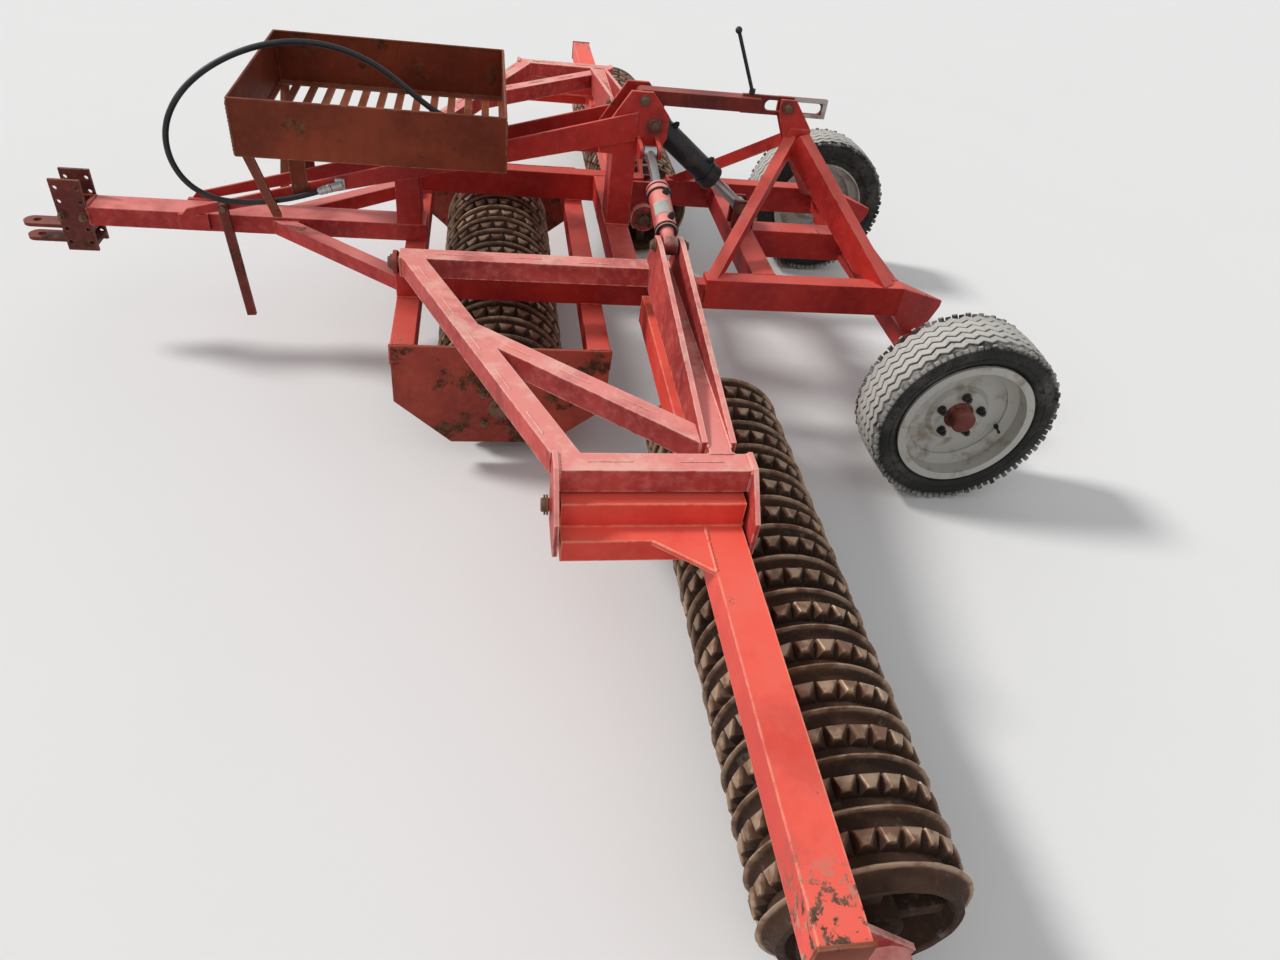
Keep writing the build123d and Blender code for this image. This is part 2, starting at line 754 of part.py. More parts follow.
def wheel_cross_beams():
    """Cross tubes of the wheel frame and the middle beam between them."""
    low = beam_top_z - cross_beam_size
    parts = [
        block(x, x + cross_beam_size, -beam_inner_y, beam_inner_y, low, beam_top_z)
        for x in (front_cross_x, rear_cross_x)
    ]
    half = mid_beam_width / 2
    parts.append(block(front_cross_x + cross_beam_size, rear_cross_x, -half, half, beam_bottom_z, beam_top_z))
    return Compound(parts)


def axle_beam():
    """Straight axle under the rear beams, with a stub and a flange for each hub."""
    half = axle_beam_size / 2
    beam = block(axle_x - half, axle_x + half, -axle_beam_half, axle_beam_half, tyre_radius - half, tyre_radius + half)
    for side in (-1, 1):
        beam += rod_y(axle_x, tyre_radius, wheel_stub_radius, side * (axle_beam_half - 1.0), side * (wheel_y + 20.0))
    return beam


def a_frame():
    """Four legs to the top of the wheel frame, and the ears that hold the slot pin."""
    body = block(a_top_x - 42.0, a_top_x + 34.0, -30.0, 30.0, a_top_z - 88.0, a_top_z)
    for side in (-1, 1):
        start = (a_top_x, side * 20.0, a_top_z - 46.0)
        end = (rear_cross_x + 17.0, side * (beam_inner_y + beam_width / 2), beam_top_z - 30.0)
        leg = bar_between(start, end, leg_depth, leg_width)
        leg -= block(0, trim_reach, -trim_reach, trim_reach, 0, beam_top_z)
        body += leg
        start = (a_top_x - 24.0, side * 16.0, a_top_z - 40.0)
        end = (rear_beam_front_x + 26.0, side * (beam_inner_y + beam_width / 2), beam_top_z - 16.0)
        front_leg = bar_between(start, end, front_leg_size, front_leg_size)
        front_leg -= block(0, trim_reach, -trim_reach, trim_reach, 0, beam_top_z)
        body += front_leg
    for side in (-1, 1):
        inner = stay_plate_thickness / 2 + 8.0
        ear_outline = [
            (slot_pin_x - 26.0, slot_pin_z + 26.0),
            (slot_pin_x + 26.0, slot_pin_z + 26.0),
            (a_top_x + 34.0, a_top_z),
            (a_top_x + 34.0, a_top_z - 60.0),
            (a_top_x - 42.0, a_top_z - 60.0),
            (slot_pin_x - 26.0, slot_pin_z - 20.0),
        ]
        body += plate_xz(ear_outline, side * inner, side * (inner + 10.0))
    reach = stay_plate_thickness / 2 + 8.0 + 10.0 + 8.0
    slot_gap = stay_plate_thickness / 2 + 8.0
    body -= block(780.0, 1000.0, -slot_gap, slot_gap, slot_pin_z - 60.0, slot_pin_z + 60.0)
    body += rod_y(slot_pin_x, slot_pin_z, slot_pin_radius, -reach, reach)
    return body


def lift_lever():
    """Two plates on the front cross tube that take the lift cylinder's rod."""
    outline = [
        (front_cross_x, beam_top_z),
        (front_cross_x + cross_beam_size, beam_top_z),
        (front_cross_x + cross_beam_size, beam_top_z + 48.0),
        (lift_lever_x + 26.0, lift_lever_z + 28.0),
        (lift_lever_x - 20.0, lift_lever_z + 28.0),
        (front_cross_x, beam_top_z + 58.0),
    ]
    plates = []
    for side in (-1, 1):
        plates.append(plate_xz(outline, side * lift_lever_gap / 2, side * (lift_lever_gap / 2 + 12.0)))
    body = plates[0] + plates[1]
    reach = lift_lever_gap / 2 + 20.0
    return body + rod_y(lift_lever_x, lift_lever_z, cylinder_pin_radius + 3.0, -reach, reach)


def tyre(side):
    """Tyre with rounded shoulders."""
    half = tyre_width / 2
    bead = half - rim_inset - bearing_clearance
    with BuildPart() as body:
        with BuildSketch(Plane.XY):
            with BuildLine():
                Polyline(
                    (rim_radius, -bead), (rim_flange_radius + 2, -bead), (rim_flange_radius + 20, -half + 5),
                    (tyre_radius - 40, -half),
                )
                ThreePointArc((tyre_radius - 40, -half), (tyre_radius - 12, -half + 14), (tyre_radius - 4, -half + 34))
                ThreePointArc((tyre_radius - 4, -half + 34), (tyre_radius, 0), (tyre_radius - 4, half - 34))
                ThreePointArc((tyre_radius - 4, half - 34), (tyre_radius - 12, half - 14), (tyre_radius - 40, half))
                Polyline(
                    (tyre_radius - 40, half), (rim_flange_radius + 20, half - 5), (rim_flange_radius + 2, bead),
                    (rim_radius, bead), (rim_radius, -bead),
                )
            make_face()
        revolve(axis=Axis.Y)
    return Pos(axle_x, side * wheel_y, tyre_radius) * body.part


def wheel(side):
    """Rim with its deep dish, disc, hub and bolts; the outer face looks away from the machine."""
    half = tyre_width / 2 - rim_inset
    inner = rim_radius - rim_wall
    seat = rim_radius - bearing_clearance
    well = wheel_well_half
    slope = wheel_well_half + wheel_well_slope
    floor = wheel_well_radius - rim_wall
    outline = [
        (seat, -half), (seat, -slope), (wheel_well_radius, -well), (wheel_well_radius, well), (seat, slope),
        (seat, half), (rim_flange_radius, half), (rim_flange_radius, half + rim_flange_width),
        (inner, half + rim_flange_width), (inner, slope), (floor, well), (floor, -well), (inner, -slope),
        (inner, -half),
    ]
    barrel = revolve(make_face(Polyline(*outline, close=True)), Axis.Y)
    disc_y = half - wheel_disc_depth
    back_y = disc_y - wheel_disc_thickness
    step = wheel_face_step
    disc_outline = [
        (0, back_y + step), (wheel_face_radius - step, back_y + step), (wheel_face_radius, back_y),
        (wheel_well_radius - rim_wall / 2, back_y), (wheel_well_radius - rim_wall / 2, disc_y),
        (wheel_face_radius + step / 2, disc_y), (wheel_face_radius - step / 2, disc_y + step), (0, disc_y + step),
    ]
    disc = revolve(make_face(Polyline(*disc_outline, close=True)), Axis.Y)
    body = barrel + disc
    disc_y = disc_y + step
    body += rod_y(0, 0, wheel_hub_radius, disc_y - wheel_hub_length, disc_y)
    body += rod_y(0, 0, wheel_hub_radius * 0.62, disc_y, disc_y + 42.0)
    for bolt in range(wheel_bolts):
        angle = math.radians(90.0 + bolt * 360.0 / wheel_bolts)
        x = wheel_bolt_circle * math.cos(angle)
        z = wheel_bolt_circle * math.sin(angle)
        body += rod_y(x, z, wheel_bolt_radius, disc_y - 1.0, disc_y + 18.0)
    body -= rod_y(0, 0, wheel_stub_radius + bearing_clearance, disc_y - wheel_hub_length, disc_y + 24.0)
    if side < 0:
        body = Rot(0, 0, 180) * body
    return Pos(axle_x, side * wheel_y, tyre_radius) * body


def cylinder_barrel(base, tip, neck, length, radius, rod_radius):
    """Barrel on the line from its base eye to tip, on a narrow neck and bored for its rod."""
    start = Vector(*base)
    along = (Vector(*tip) - start).normalized()
    body = rod_between(start + along * neck, start + along * length, radius)
    body += rod_between(start + along * cylinder_eye_radius / 2, start + along * neck, cylinder_eye_width / 2)
    body += rod_between(start + along * (length - cylinder_head), start + along * length, radius + 4.0)
    bore_start = start + along * (cylinder_eye_radius + 28.0)
    body -= rod_between(bore_start, start + along * (length + 1.0), rod_radius + rod_clearance)
    return body


def cylinder_rod(base, tip, inside, rod_radius):
    """Rod that starts inside its barrel and ends at its eye on tip."""
    start = Vector(*base)
    along = (Vector(*tip) - start).normalized()
    end = Vector(*tip) - along * cylinder_eye_radius / 2
    return rod_between(start + along * inside, end, rod_radius)


def lift_cylinder():
    """Barrel and rod of the lift cylinder, both with eyes across Y."""
    base = (lift_pin_x, 0, lift_pin_z)
    tip = (lift_lever_x, 0, lift_lever_z)
    half = cylinder_eye_width / 2
    pin_bore = cylinder_pin_radius + 3.0 + rod_clearance
    barrel = cylinder_barrel(base, tip, lift_neck, lift_barrel_length, lift_barrel_radius, lift_rod_radius)
    barrel += rod_y(base[0], base[2], cylinder_eye_radius + 6.0, -half, half)
    barrel -= rod_y(base[0], base[2], pin_bore, -half, half)
    rod = cylinder_rod(base, tip, lift_rod_inside, lift_rod_radius)
    rod += rod_y(tip[0], tip[2], cylinder_eye_radius, -half, half)
    rod -= rod_y(tip[0], tip[2], pin_bore + open_eye_clearance, -half, half)
    return barrel, rod


def wing_cylinder(side):
    """Barrel and rod of a wing cylinder, both with eyes across X."""
    base = (cylinder_plane_x, side * wing_lever_y, wing_lever_z)
    tip = (cylinder_plane_x, side * tower_lug_y, tower_lug_z)
    half = cylinder_eye_width / 2
    low = cylinder_plane_x - half
    high = cylinder_plane_x + half
    pin_bore = cylinder_pin_radius + rod_clearance
    barrel = cylinder_barrel(base, tip, wing_neck, wing_barrel_length, wing_barrel_radius, wing_rod_radius)
    barrel += rod_x(base[1], base[2], cylinder_eye_radius, low, high)
    barrel -= rod_x(base[1], base[2], pin_bore, low, high)
    rod = cylinder_rod(base, tip, wing_rod_inside, wing_rod_radius)
    rod += rod_x(tip[1], tip[2], 20.0, low, high)
    rod += rod_x(tip[1], tip[2], cylinder_pin_radius, low - 2.0, high + 2.0)
    return barrel, rod


def lock_stay():
    """Channel from the tower and its slotted plate, which slides on the wheel frame's pin."""
    half = stay_width / 2
    low = stay_pin_z - stay_depth / 2
    high = stay_pin_z + stay_depth / 2
    body = block(stay_pin_x, stay_channel_end_x, -half, half, low, high)
    body += rod_y(stay_pin_x, stay_pin_z, stay_depth / 2, -half, half)
    body -= block(stay_pin_x + 60.0, stay_channel_end_x + 1.0, -half + 8.0, half - 8.0, low - 1.0, high - 8.0)
    body -= rod_y(stay_pin_x, stay_pin_z, cylinder_pin_radius + rod_clearance, -half, half)
    thick = stay_plate_thickness / 2
    plate = block(
        stay_channel_end_x - 60.0, stay_plate_end_x, -thick, thick,
        stay_pin_z - stay_plate_height / 2, stay_pin_z + stay_plate_height / 2,
    )
    slot_end = stay_plate_end_x - stay_slot_half - 16.0
    slot = block(stay_slot_front_x, slot_end, -thick, thick, stay_pin_z - stay_slot_half, stay_pin_z + stay_slot_half)
    slot += rod_y(stay_slot_front_x, stay_pin_z, stay_slot_half, -thick, thick)
    slot += rod_y(slot_end, stay_pin_z, stay_slot_half, -thick, thick)
    return body + (plate - slot)


def stay_handle():
    """Latch lever that stands on the stay."""
    seat_z = stay_pin_z + stay_plate_height / 2
    foot = (stay_channel_end_x - 30.0, 0, seat_z + 8.0)
    top = (stay_channel_end_x - 110.0, 0, seat_z + 185.0)
    boss = Pos(foot[0], 0, seat_z + 8.0) * Cylinder(10.0, 16.0)
    return boss + rod_between(foot, top, 6.0) + Pos(*top) * Sphere(11.0)


def parking_stand():
    """Flat bar that hangs beside the drawbar on its pin."""
    outer = stand_inner_y + stand_thickness
    half = stand_width / 2
    bar = block(-half, half, -outer, -stand_inner_y, -stand_length, 0)
    bar += rod_y(0, 0, half, -outer, -stand_inner_y)
    bar -= rod_y(0, 0, stand_pin_radius + bearing_clearance, -outer, -stand_inner_y)
    return Pos(stand_x, 0, stand_z) * Rot(0, -stand_lean_deg, 0) * bar


def stand_pin():
    """Boss and pin on the near brace that carry the stand."""
    face = brace_inner_y + brace_thickness
    boss = rod_y(stand_x, stand_z, 16.0, -face, -stand_inner_y + 4.0)
    pin = rod_y(stand_x, stand_z, stand_pin_radius, -face, -stand_inner_y - stand_thickness - 6.0)
    return boss + pin


def hose_radii():
    """Largest arc radius at each corner of the hose."""
    points = [Vector(*point) for point in hose_points]
    radii = []
    for before, corner, after in zip(points, points[1:], points[2:]):
        run_in = corner - before
        run_out = after - corner
        turn = math.radians(run_in.get_angle(run_out))
        radii.append(0.45 * min(run_in.length, run_out.length) / math.tan(turn / 2))
    return radii


def hose():
    """Hose along straight runs joined by tangent arcs."""
    radii = hose_radii()
    print("hose radii", [round(radius) for radius in radii])
    path = FilletPolyline(*hose_points, radius=radii)
    print("hose length", round(path.length))
    start = Vector(*hose_points[0])
    along = Vector(*hose_points[1]) - start
    return sweep(Plane(origin=start, z_dir=along) * Circle(hose_radius), path=path)


def hose_coupler():
    """Coupler on the hose's free end."""
    end = Vector(*hose_points[-1])
    along = (end - Vector(*hose_points[-2])).normalized()
    body = rod_between(end, end + along * coupler_length, coupler_radius)
    return body


def hose_clip():
    """Elbow block on the near brace that the hose screws into."""
    start = Vector(*hose_points[0])
    along = (Vector(*hose_points[1]) - start).normalized()
    face = -brace_inner_y - brace_thickness
    fitting = rod_between(start - along * 34.0, start, 13.0)
    foot = block(start.X + 10.0, start.X + 40.0, face, start.Y, start.Z - 4.0, start.Z + 28.0)
    body = foot + fitting
    return body - block(start.X - 100.0, start.X + 100.0, face, 0, start.Z - 100.0, start.Z + 100.0)


sides = (("near", -1), ("far", 1))

save(side_beams(), "side_beams")
save(cross_tubes(), "cross_tubes")
save(drawbar(), "drawbar")
save(hitch(), "hitch")
save(front_post(), "front_post")
save(tower(), "tower")
save(stone_box(), "stone_box")
save(box_supports(), "box_supports")
save(wheel_hinges(), "wheel_frame_hinges")
save(stand_pin(), "stand_pin")
save(parking_stand(), "parking_stand")
save(wheel_cross_beams(), "wheel_frame_cross_beams")
save(axle_beam(), "axle_beam")
save(a_frame(), "a_frame")
save(lift_lever(), "lift_lever")
save(lock_stay(), "lock_stay")
save(stay_handle(), "stay_handle")
save(hose(), "hose")
save(hose_coupler(), "hose_coupler")
save(hose_clip(), "hose_clip")
lift_barrel, lift_rod = lift_cylinder()
save(lift_barrel, "lift_cylinder_barrel")
save(lift_rod, "lift_cylinder_rod")
centre_reach = side_plate_inner_y - 4.0 - centre_pack_width / 2
save(roller(centre_ring_count, centre_axle_x, -centre_pack_width / 2, centre_reach), "roller_centre")
for name, side in sides:
    save(side_plate(side), f"side_plate_{name}")
    save(upper_brace(side), f"upper_brace_{name}")
    save(wing_lugs(side), f"wing_lugs_{name}")
    save(wing_arm(side), f"wing_arm_{name}")
    save(wing_levers(side), f"wing_levers_{name}")
    save(pivot_plates(side), f"pivot_plates_{name}")
    save(gang_beam(side), f"gang_beam_{name}")
    save(gang_brackets(side), f"gang_brackets_{name}")
    first = wing_rings_inner_y if side > 0 else -wing_rings_inner_y - wing_pack_width
    wing_reach = collar_length + 12.0 + bracket_thickness + bearing_length - 6.0
    save(roller(wing_ring_count, wing_axle_x, first, wing_reach), f"roller_{name}")
    save(rear_beam(side), f"rear_beam_{name}")
    save(tyre(side), f"tyre_{name}")
    save(wheel(side), f"wheel_{name}")
    wing_barrel, wing_rod = wing_cylinder(side)
    save(wing_barrel, f"wing_cylinder_barrel_{name}")
    save(wing_rod, f"wing_cylinder_rod_{name}")
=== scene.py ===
import json
import math
import random

import bmesh
import bpy
from mathutils import Matrix, Vector


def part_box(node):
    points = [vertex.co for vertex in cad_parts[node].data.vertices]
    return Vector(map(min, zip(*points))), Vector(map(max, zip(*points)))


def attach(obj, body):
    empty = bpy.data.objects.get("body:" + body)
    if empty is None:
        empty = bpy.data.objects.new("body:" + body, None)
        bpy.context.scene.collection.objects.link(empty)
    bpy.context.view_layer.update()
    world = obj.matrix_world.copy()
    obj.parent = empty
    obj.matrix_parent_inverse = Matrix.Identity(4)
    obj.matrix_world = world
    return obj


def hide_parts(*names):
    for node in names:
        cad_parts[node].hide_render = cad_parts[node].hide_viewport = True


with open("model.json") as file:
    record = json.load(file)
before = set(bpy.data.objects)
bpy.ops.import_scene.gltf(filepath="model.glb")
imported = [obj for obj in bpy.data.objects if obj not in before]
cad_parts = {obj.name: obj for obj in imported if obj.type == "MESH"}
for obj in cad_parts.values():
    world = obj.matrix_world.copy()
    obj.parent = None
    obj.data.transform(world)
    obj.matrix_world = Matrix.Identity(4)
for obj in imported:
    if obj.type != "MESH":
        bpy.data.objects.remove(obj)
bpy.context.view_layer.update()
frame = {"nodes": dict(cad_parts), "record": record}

nodes = frame["nodes"]
sides = (("near", -1), ("far", 1))
print("frame loaded:", len(nodes), "nodes")

# Camera

cameraLook = {
    "place": (-0.1508, -2.9074, 1.787),
    "right": (0.98461, -0.13104, 0.11564),
    "up": (-0.00265, 0.65039, 0.75960),
    "back": (-0.17475, -0.74821, 0.64003),
    "lens": 24.39,
    "sensor": 36.0,
}


def makeCamera():
    data = bpy.data.cameras.new("viewCamera")
    data.lens = cameraLook["lens"]
    data.sensor_width = cameraLook["sensor"]
    data.sensor_fit = "HORIZONTAL"
    camera = bpy.data.objects.new("viewCamera", data)
    axes = [Vector(cameraLook[key]) for key in ("right", "up", "back")]
    turn = Matrix(axes).transposed().to_4x4()
    camera.matrix_world = Matrix.Translation(cameraLook["place"]) @ turn
    bpy.context.collection.objects.link(camera)
    bpy.context.scene.camera = camera


makeCamera()
print("camera placed")

# Hydraulic hose: over the drawbar in one loop and back into the box to its coupler

hoseLook = {
    "route": [
        (-0.640, -0.084, 0.604), (-0.730, -0.093, 0.574), (-0.820, -0.095, 0.553), (-0.910, -0.106, 0.546),
        (-0.998, -0.122, 0.560), (-1.070, -0.119, 0.606), (-1.108, -0.102, 0.680), (-1.106, -0.078, 0.764),
        (-1.062, -0.052, 0.844), (-0.990, -0.032, 0.910), (-0.902, -0.018, 0.961), (-0.806, -0.010, 0.997),
        (-0.708, -0.008, 1.014), (-0.608, -0.014, 1.011), (-0.512, -0.026, 0.986), (-0.426, -0.042, 0.940),
        (-0.350, -0.058, 0.884), (-0.286, -0.070, 0.846), (-0.214, -0.078, 0.828),
    ],
    "diameter": 0.018, "length": 1.66, "sleeve": 0.046,
    "black": (0.014, 0.014, 0.015), "grime": (0.10, 0.085, 0.07),
}


def makeHose():
    look = hoseLook
    curve = bpy.data.curves.new("liftHose", "CURVE")
    curve.dimensions = "3D"
    line = curve.splines.new("NURBS")
    line.points.add(len(look["route"]) - 1)
    for point, spot in zip(line.points, look["route"]):
        point.co = (*spot, 1.0)
        point.radius = look["diameter"] / 2
    line.order_u = 3
    line.use_endpoint_u = True
    line.resolution_u = 8
    curve.bevel_depth = 1.0  # times each point's radius
    curve.bevel_resolution = 4
    curve.use_fill_caps = True
    made = bpy.data.objects.new("liftHose", curve)
    bpy.context.collection.objects.link(made)
    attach(made, "frame")
    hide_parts("hose")
    return made


hose = makeHose()
print("hose laid")

# Places on the machine


def nodeBox(node):
    # lowest and highest corner, and the middle
    low, high = (Vector(corner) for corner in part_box(node))
    return low, high, (low + high) / 2


def mirrored(point, side):
    # points are given for the far side, which is 1
    return Vector((point[0], side * point[1], point[2]))


# Shader nodes


def feed(tree, made, inputs):
    for key, value in inputs.items():
        if isinstance(value, bpy.types.NodeSocket):
            tree.links.new(value, made.inputs[key])
        else:
            made.inputs[key].default_value = value


def addNode(tree, kind, inputs=None, **settings):
    made = tree.nodes.new(kind)
    for key, value in settings.items():
        setattr(made, key, value)
    feed(tree, made, inputs or {})
    return made


def newMaterial(name):
    material = bpy.data.materials.new(name)
    material.use_nodes = True
    tree = material.node_tree
    return material, tree, tree.nodes["Principled BSDF"]


def rgba(colour):
    return (*colour, 1.0)


def noise(tree, where, scale, detail, roughness=0.55):
    inputs = {"Vector": where, "Scale": scale, "Detail": detail, "Roughness": roughness}
    return addNode(tree, "ShaderNodeTexNoise", inputs).outputs["Fac"]


def step(tree, value, low, high):
    # from 0 at low to 1 at high, with soft ends
    inputs = {"Value": value, "From Min": low, "From Max": high}
    return addNode(tree, "ShaderNodeMapRange", inputs, interpolation_type="SMOOTHSTEP").outputs["Result"]


def ranged(tree, value, low, high):
    # 0 to 1 turned into low to high
    inputs = {"Value": value, "To Min": low, "To Max": high}
    return addNode(tree, "ShaderNodeMapRange", inputs).outputs["Result"]


def calc(tree, operation, first, second):
    return addNode(tree, "ShaderNodeMath", {0: first, 1: second}, operation=operation, use_clamp=True).outputs[0]


def times(tree, first, second):
    return calc(tree, "MULTIPLY", first, second)


def most(tree, first, second):
    return calc(tree, "MAXIMUM", first, second)


def measure(tree, operation, *vectors):
    # one number out of one or two vectors
    return addNode(tree, "ShaderNodeVectorMath", dict(enumerate(vectors)), operation=operation).outputs["Value"]


def blendColour(tree, amount, first, second):
    first, second = (
        colour if isinstance(colour, bpy.types.NodeSocket) else rgba(colour) for colour in (first, second)
    )
    inputs = {"Factor": amount, 6: first, 7: second}  # 6 and 7 are its two colours
    return addNode(tree, "ShaderNodeMix", inputs, data_type="RGBA").outputs[2]


def placed(tree, stretch=(1, 1, 1), shift=(0, 0, 0)):
    coordinates = addNode(tree, "ShaderNodeTexCoord")
    inputs = {"Vector": coordinates.outputs["Object"], "Scale": stretch, "Location": shift}
    return addNode(tree, "ShaderNodeMapping", inputs).outputs["Vector"]


def axleReach(tree, axle):
    # how far from an axle that runs along y
    return measure(tree, "LENGTH", placed(tree, (1, 0, 1), (-axle.x, 0, -axle.z)))


def bothSides(tree, where):
    # how far out to either side, and the place with its side left out
    axes = addNode(tree, "ShaderNodeSeparateXYZ", {"Vector": where}).outputs
    outward = addNode(tree, "ShaderNodeMath", {0: axes["Y"]}, operation="ABSOLUTE").outputs[0]
    point = addNode(tree, "ShaderNodeCombineXYZ", {"X": axes["X"], "Y": outward, "Z": axes["Z"]})
    return outward, point.outputs["Vector"]


def upward(tree):
    normal = addNode(tree, "ShaderNodeTexCoord").outputs["Normal"]
    return addNode(tree, "ShaderNodeSeparateXYZ", {"Vector": normal}).outputs["Z"]


def edgeMask(tree, radius):
    # 1 on the edges, where the rounded normal turns away from the flat one
    rounded = addNode(tree, "ShaderNodeBevel", {"Radius": radius}, samples=6).outputs["Normal"]
    flat = addNode(tree, "ShaderNodeNewGeometry").outputs["Normal"]
    return step(tree, measure(tree, "DOT_PRODUCT", rounded, flat), 0.995, 0.90)


def bump(tree, height, strength, distance, under=None):
    inputs = {"Height": height, "Strength": strength, "Distance": distance}
    if under is not None:
        inputs["Normal"] = under
    return addNode(tree, "ShaderNodeBump", inputs).outputs["Normal"]


# Weathered paint on the frame, the wings and the sheet metal

# the pale colour laid on faces towards the sky is partly sun-faded paint, partly painted light on the top faces
paintLooks = {
    "framePaint": {
        "paint": (0.50, 0.026, 0.018), "deep": (0.28, 0.011, 0.009), "bleachedAndLit": (0.76, 0.125, 0.092),
        "bleachAndTopLight": 0.62, "rust": 0.36, "chips": 0.4, "edgeWear": 0.6, "dust": 0.10, "mottle": 0.14,
        "edge": (0.66, 0.20, 0.14), "edgeRust": 0.25, "edgeRadius": 0.006, "gloss": 0.30,
        "stains": [(0.385, 0.060, 0.866, 0.052), (0.490, 0.410, 0.468, 0.075), (-0.408, 0.546, 0.588, 0.060),
                   (0.442, 0.546, 0.588, 0.060), (0.830, 0.020, 0.940, 0.040), (0.735, 0.030, 0.592, 0.060)],
    },
    "wingPaint": {
        "paint": (0.52, 0.062, 0.050), "deep": (0.28, 0.024, 0.022), "bleachedAndLit": (0.84, 0.29, 0.25),
        "bleachAndTopLight": 0.95, "rust": 0.38, "chips": 0.5, "edgeWear": 0.8, "dust": 0.12, "mottle": 0.24,
        "edge": (0.90, 0.60, 0.50), "edgeRust": 0.10, "edgeRadius": 0.007, "gloss": 0.25,
        "chalk": (0.95, 0.58, 0.47),
        "stains": [(0.365, 0.620, 0.715, 0.060), (-0.012, 1.505, 0.516, 0.058), (0.436, 1.505, 0.516, 0.058)],
    },
    "drawbarPaint": {
        "paint": (0.50, 0.034, 0.026), "deep": (0.28, 0.013, 0.011), "bleachedAndLit": (0.84, 0.24, 0.21),
        "bleachAndTopLight": 0.9, "rust": 0.40, "chips": 0.5, "edgeWear": 0.7, "dust": 0.12, "mottle": 0.16,
        "edge": (0.80, 0.38, 0.30), "edgeRust": 0.2, "edgeRadius": 0.006, "gloss": 0.28,
    },
    "gangPaint": {
        "paint": (0.80, 0.078, 0.050), "deep": (0.60, 0.044, 0.029), "bleachedAndLit": (0.95, 0.135, 0.090),
        "bleachAndTopLight": 0.8, "rust": 0.34, "chips": 0.5, "edgeWear": 0.9, "dust": 0.08, "mottle": 0.14,
        "edge": (0.96, 0.50, 0.33), "edgeRust": 0.10, "edgeRadius": 0.008, "gloss": 0.30,
        "peel": (2.24, 2.40), "bare": (0.50, 0.225, 0.165),
        "stains": [(0.536, 0.730, 0.205, 0.075), (0.536, 2.390, 0.205, 0.075)],
    },
    "hubPaint": {
        "paint": (0.21, 0.024, 0.014), "deep": (0.06, 0.014, 0.010), "bleachedAndLit": (0.38, 0.09, 0.06),
        "bleachAndTopLight": 0.3, "rust": 0.80, "chips": 0.8, "edgeWear": 0.6, "dust": 0.2, "mottle": 0.2,
        "edge": (0.20, 0.10, 0.07), "edgeRust": 0.8, "edgeRadius": 0.003, "gloss": 0.30,
    },
    "hitchPaint": {
        "paint": (0.19, 0.026, 0.018), "deep": (0.085, 0.014, 0.011), "bleachedAndLit": (0.34, 0.10, 0.07),
        "bleachAndTopLight": 0.4, "rust": 0.62, "chips": 0.7, "edgeWear": 0.8, "dust": 0.16, "mottle": 0.2,
        "edge": (0.34, 0.17, 0.11), "edgeRust": 0.6, "edgeRadius": 0.005, "gloss": 0.20,
    },
    # the frame's red darkened as painted shade, for the stay and the lift lever
    "shadedStayPaint": {
        "paint": (0.20, 0.016, 0.011), "deep": (0.085, 0.010, 0.008), "bleachedAndLit": (0.40, 0.08, 0.055),
        "bleachAndTopLight": 0.6, "rust": 0.5, "chips": 0.6, "edgeWear": 0.8, "dust": 0.14, "mottle": 0.16,
        "edge": (0.34, 0.16, 0.11), "edgeRust": 0.6, "edgeRadius": 0.005, "gloss": 0.25,
    },
    "platePaint": {
        "paint": (0.37, 0.052, 0.030), "deep": (0.21, 0.028, 0.018), "bleachedAndLit": (0.50, 0.13, 0.08),
        "bleachAndTopLight": 0.45, "rust": 0.88, "chips": 0.8, "edgeWear": 0.9, "dust": 0.08, "mottle": 0.16,
        "edge": (0.40, 0.22, 0.14), "edgeRust": 0.5, "edgeRadius": 0.005, "gloss": 0.20, "dents": True,
    },
    "rustySheet": {
        "paint": (0.220, 0.042, 0.018), "deep": (0.115, 0.022, 0.010), "bleachedAndLit": (0.32, 0.090, 0.042),
        "bleachAndTopLight": 0.4, "rust": 0.60, "chips": 0.7, "edgeWear": 0.8, "dust": 0.12, "mottle": 0.14,
        "edge": (0.42, 0.24, 0.15), "edgeRust": 0.3, "edgeRadius": 0.005, "gloss": 0.12, "dents": True,
    },
}
rustColours = {
    "oil": (0.030, 0.016, 0.012), "dark": (0.055, 0.024, 0.014), "mid": (0.16, 0.06, 0.028),
    "dust": (0.50, 0.42, 0.33),
}


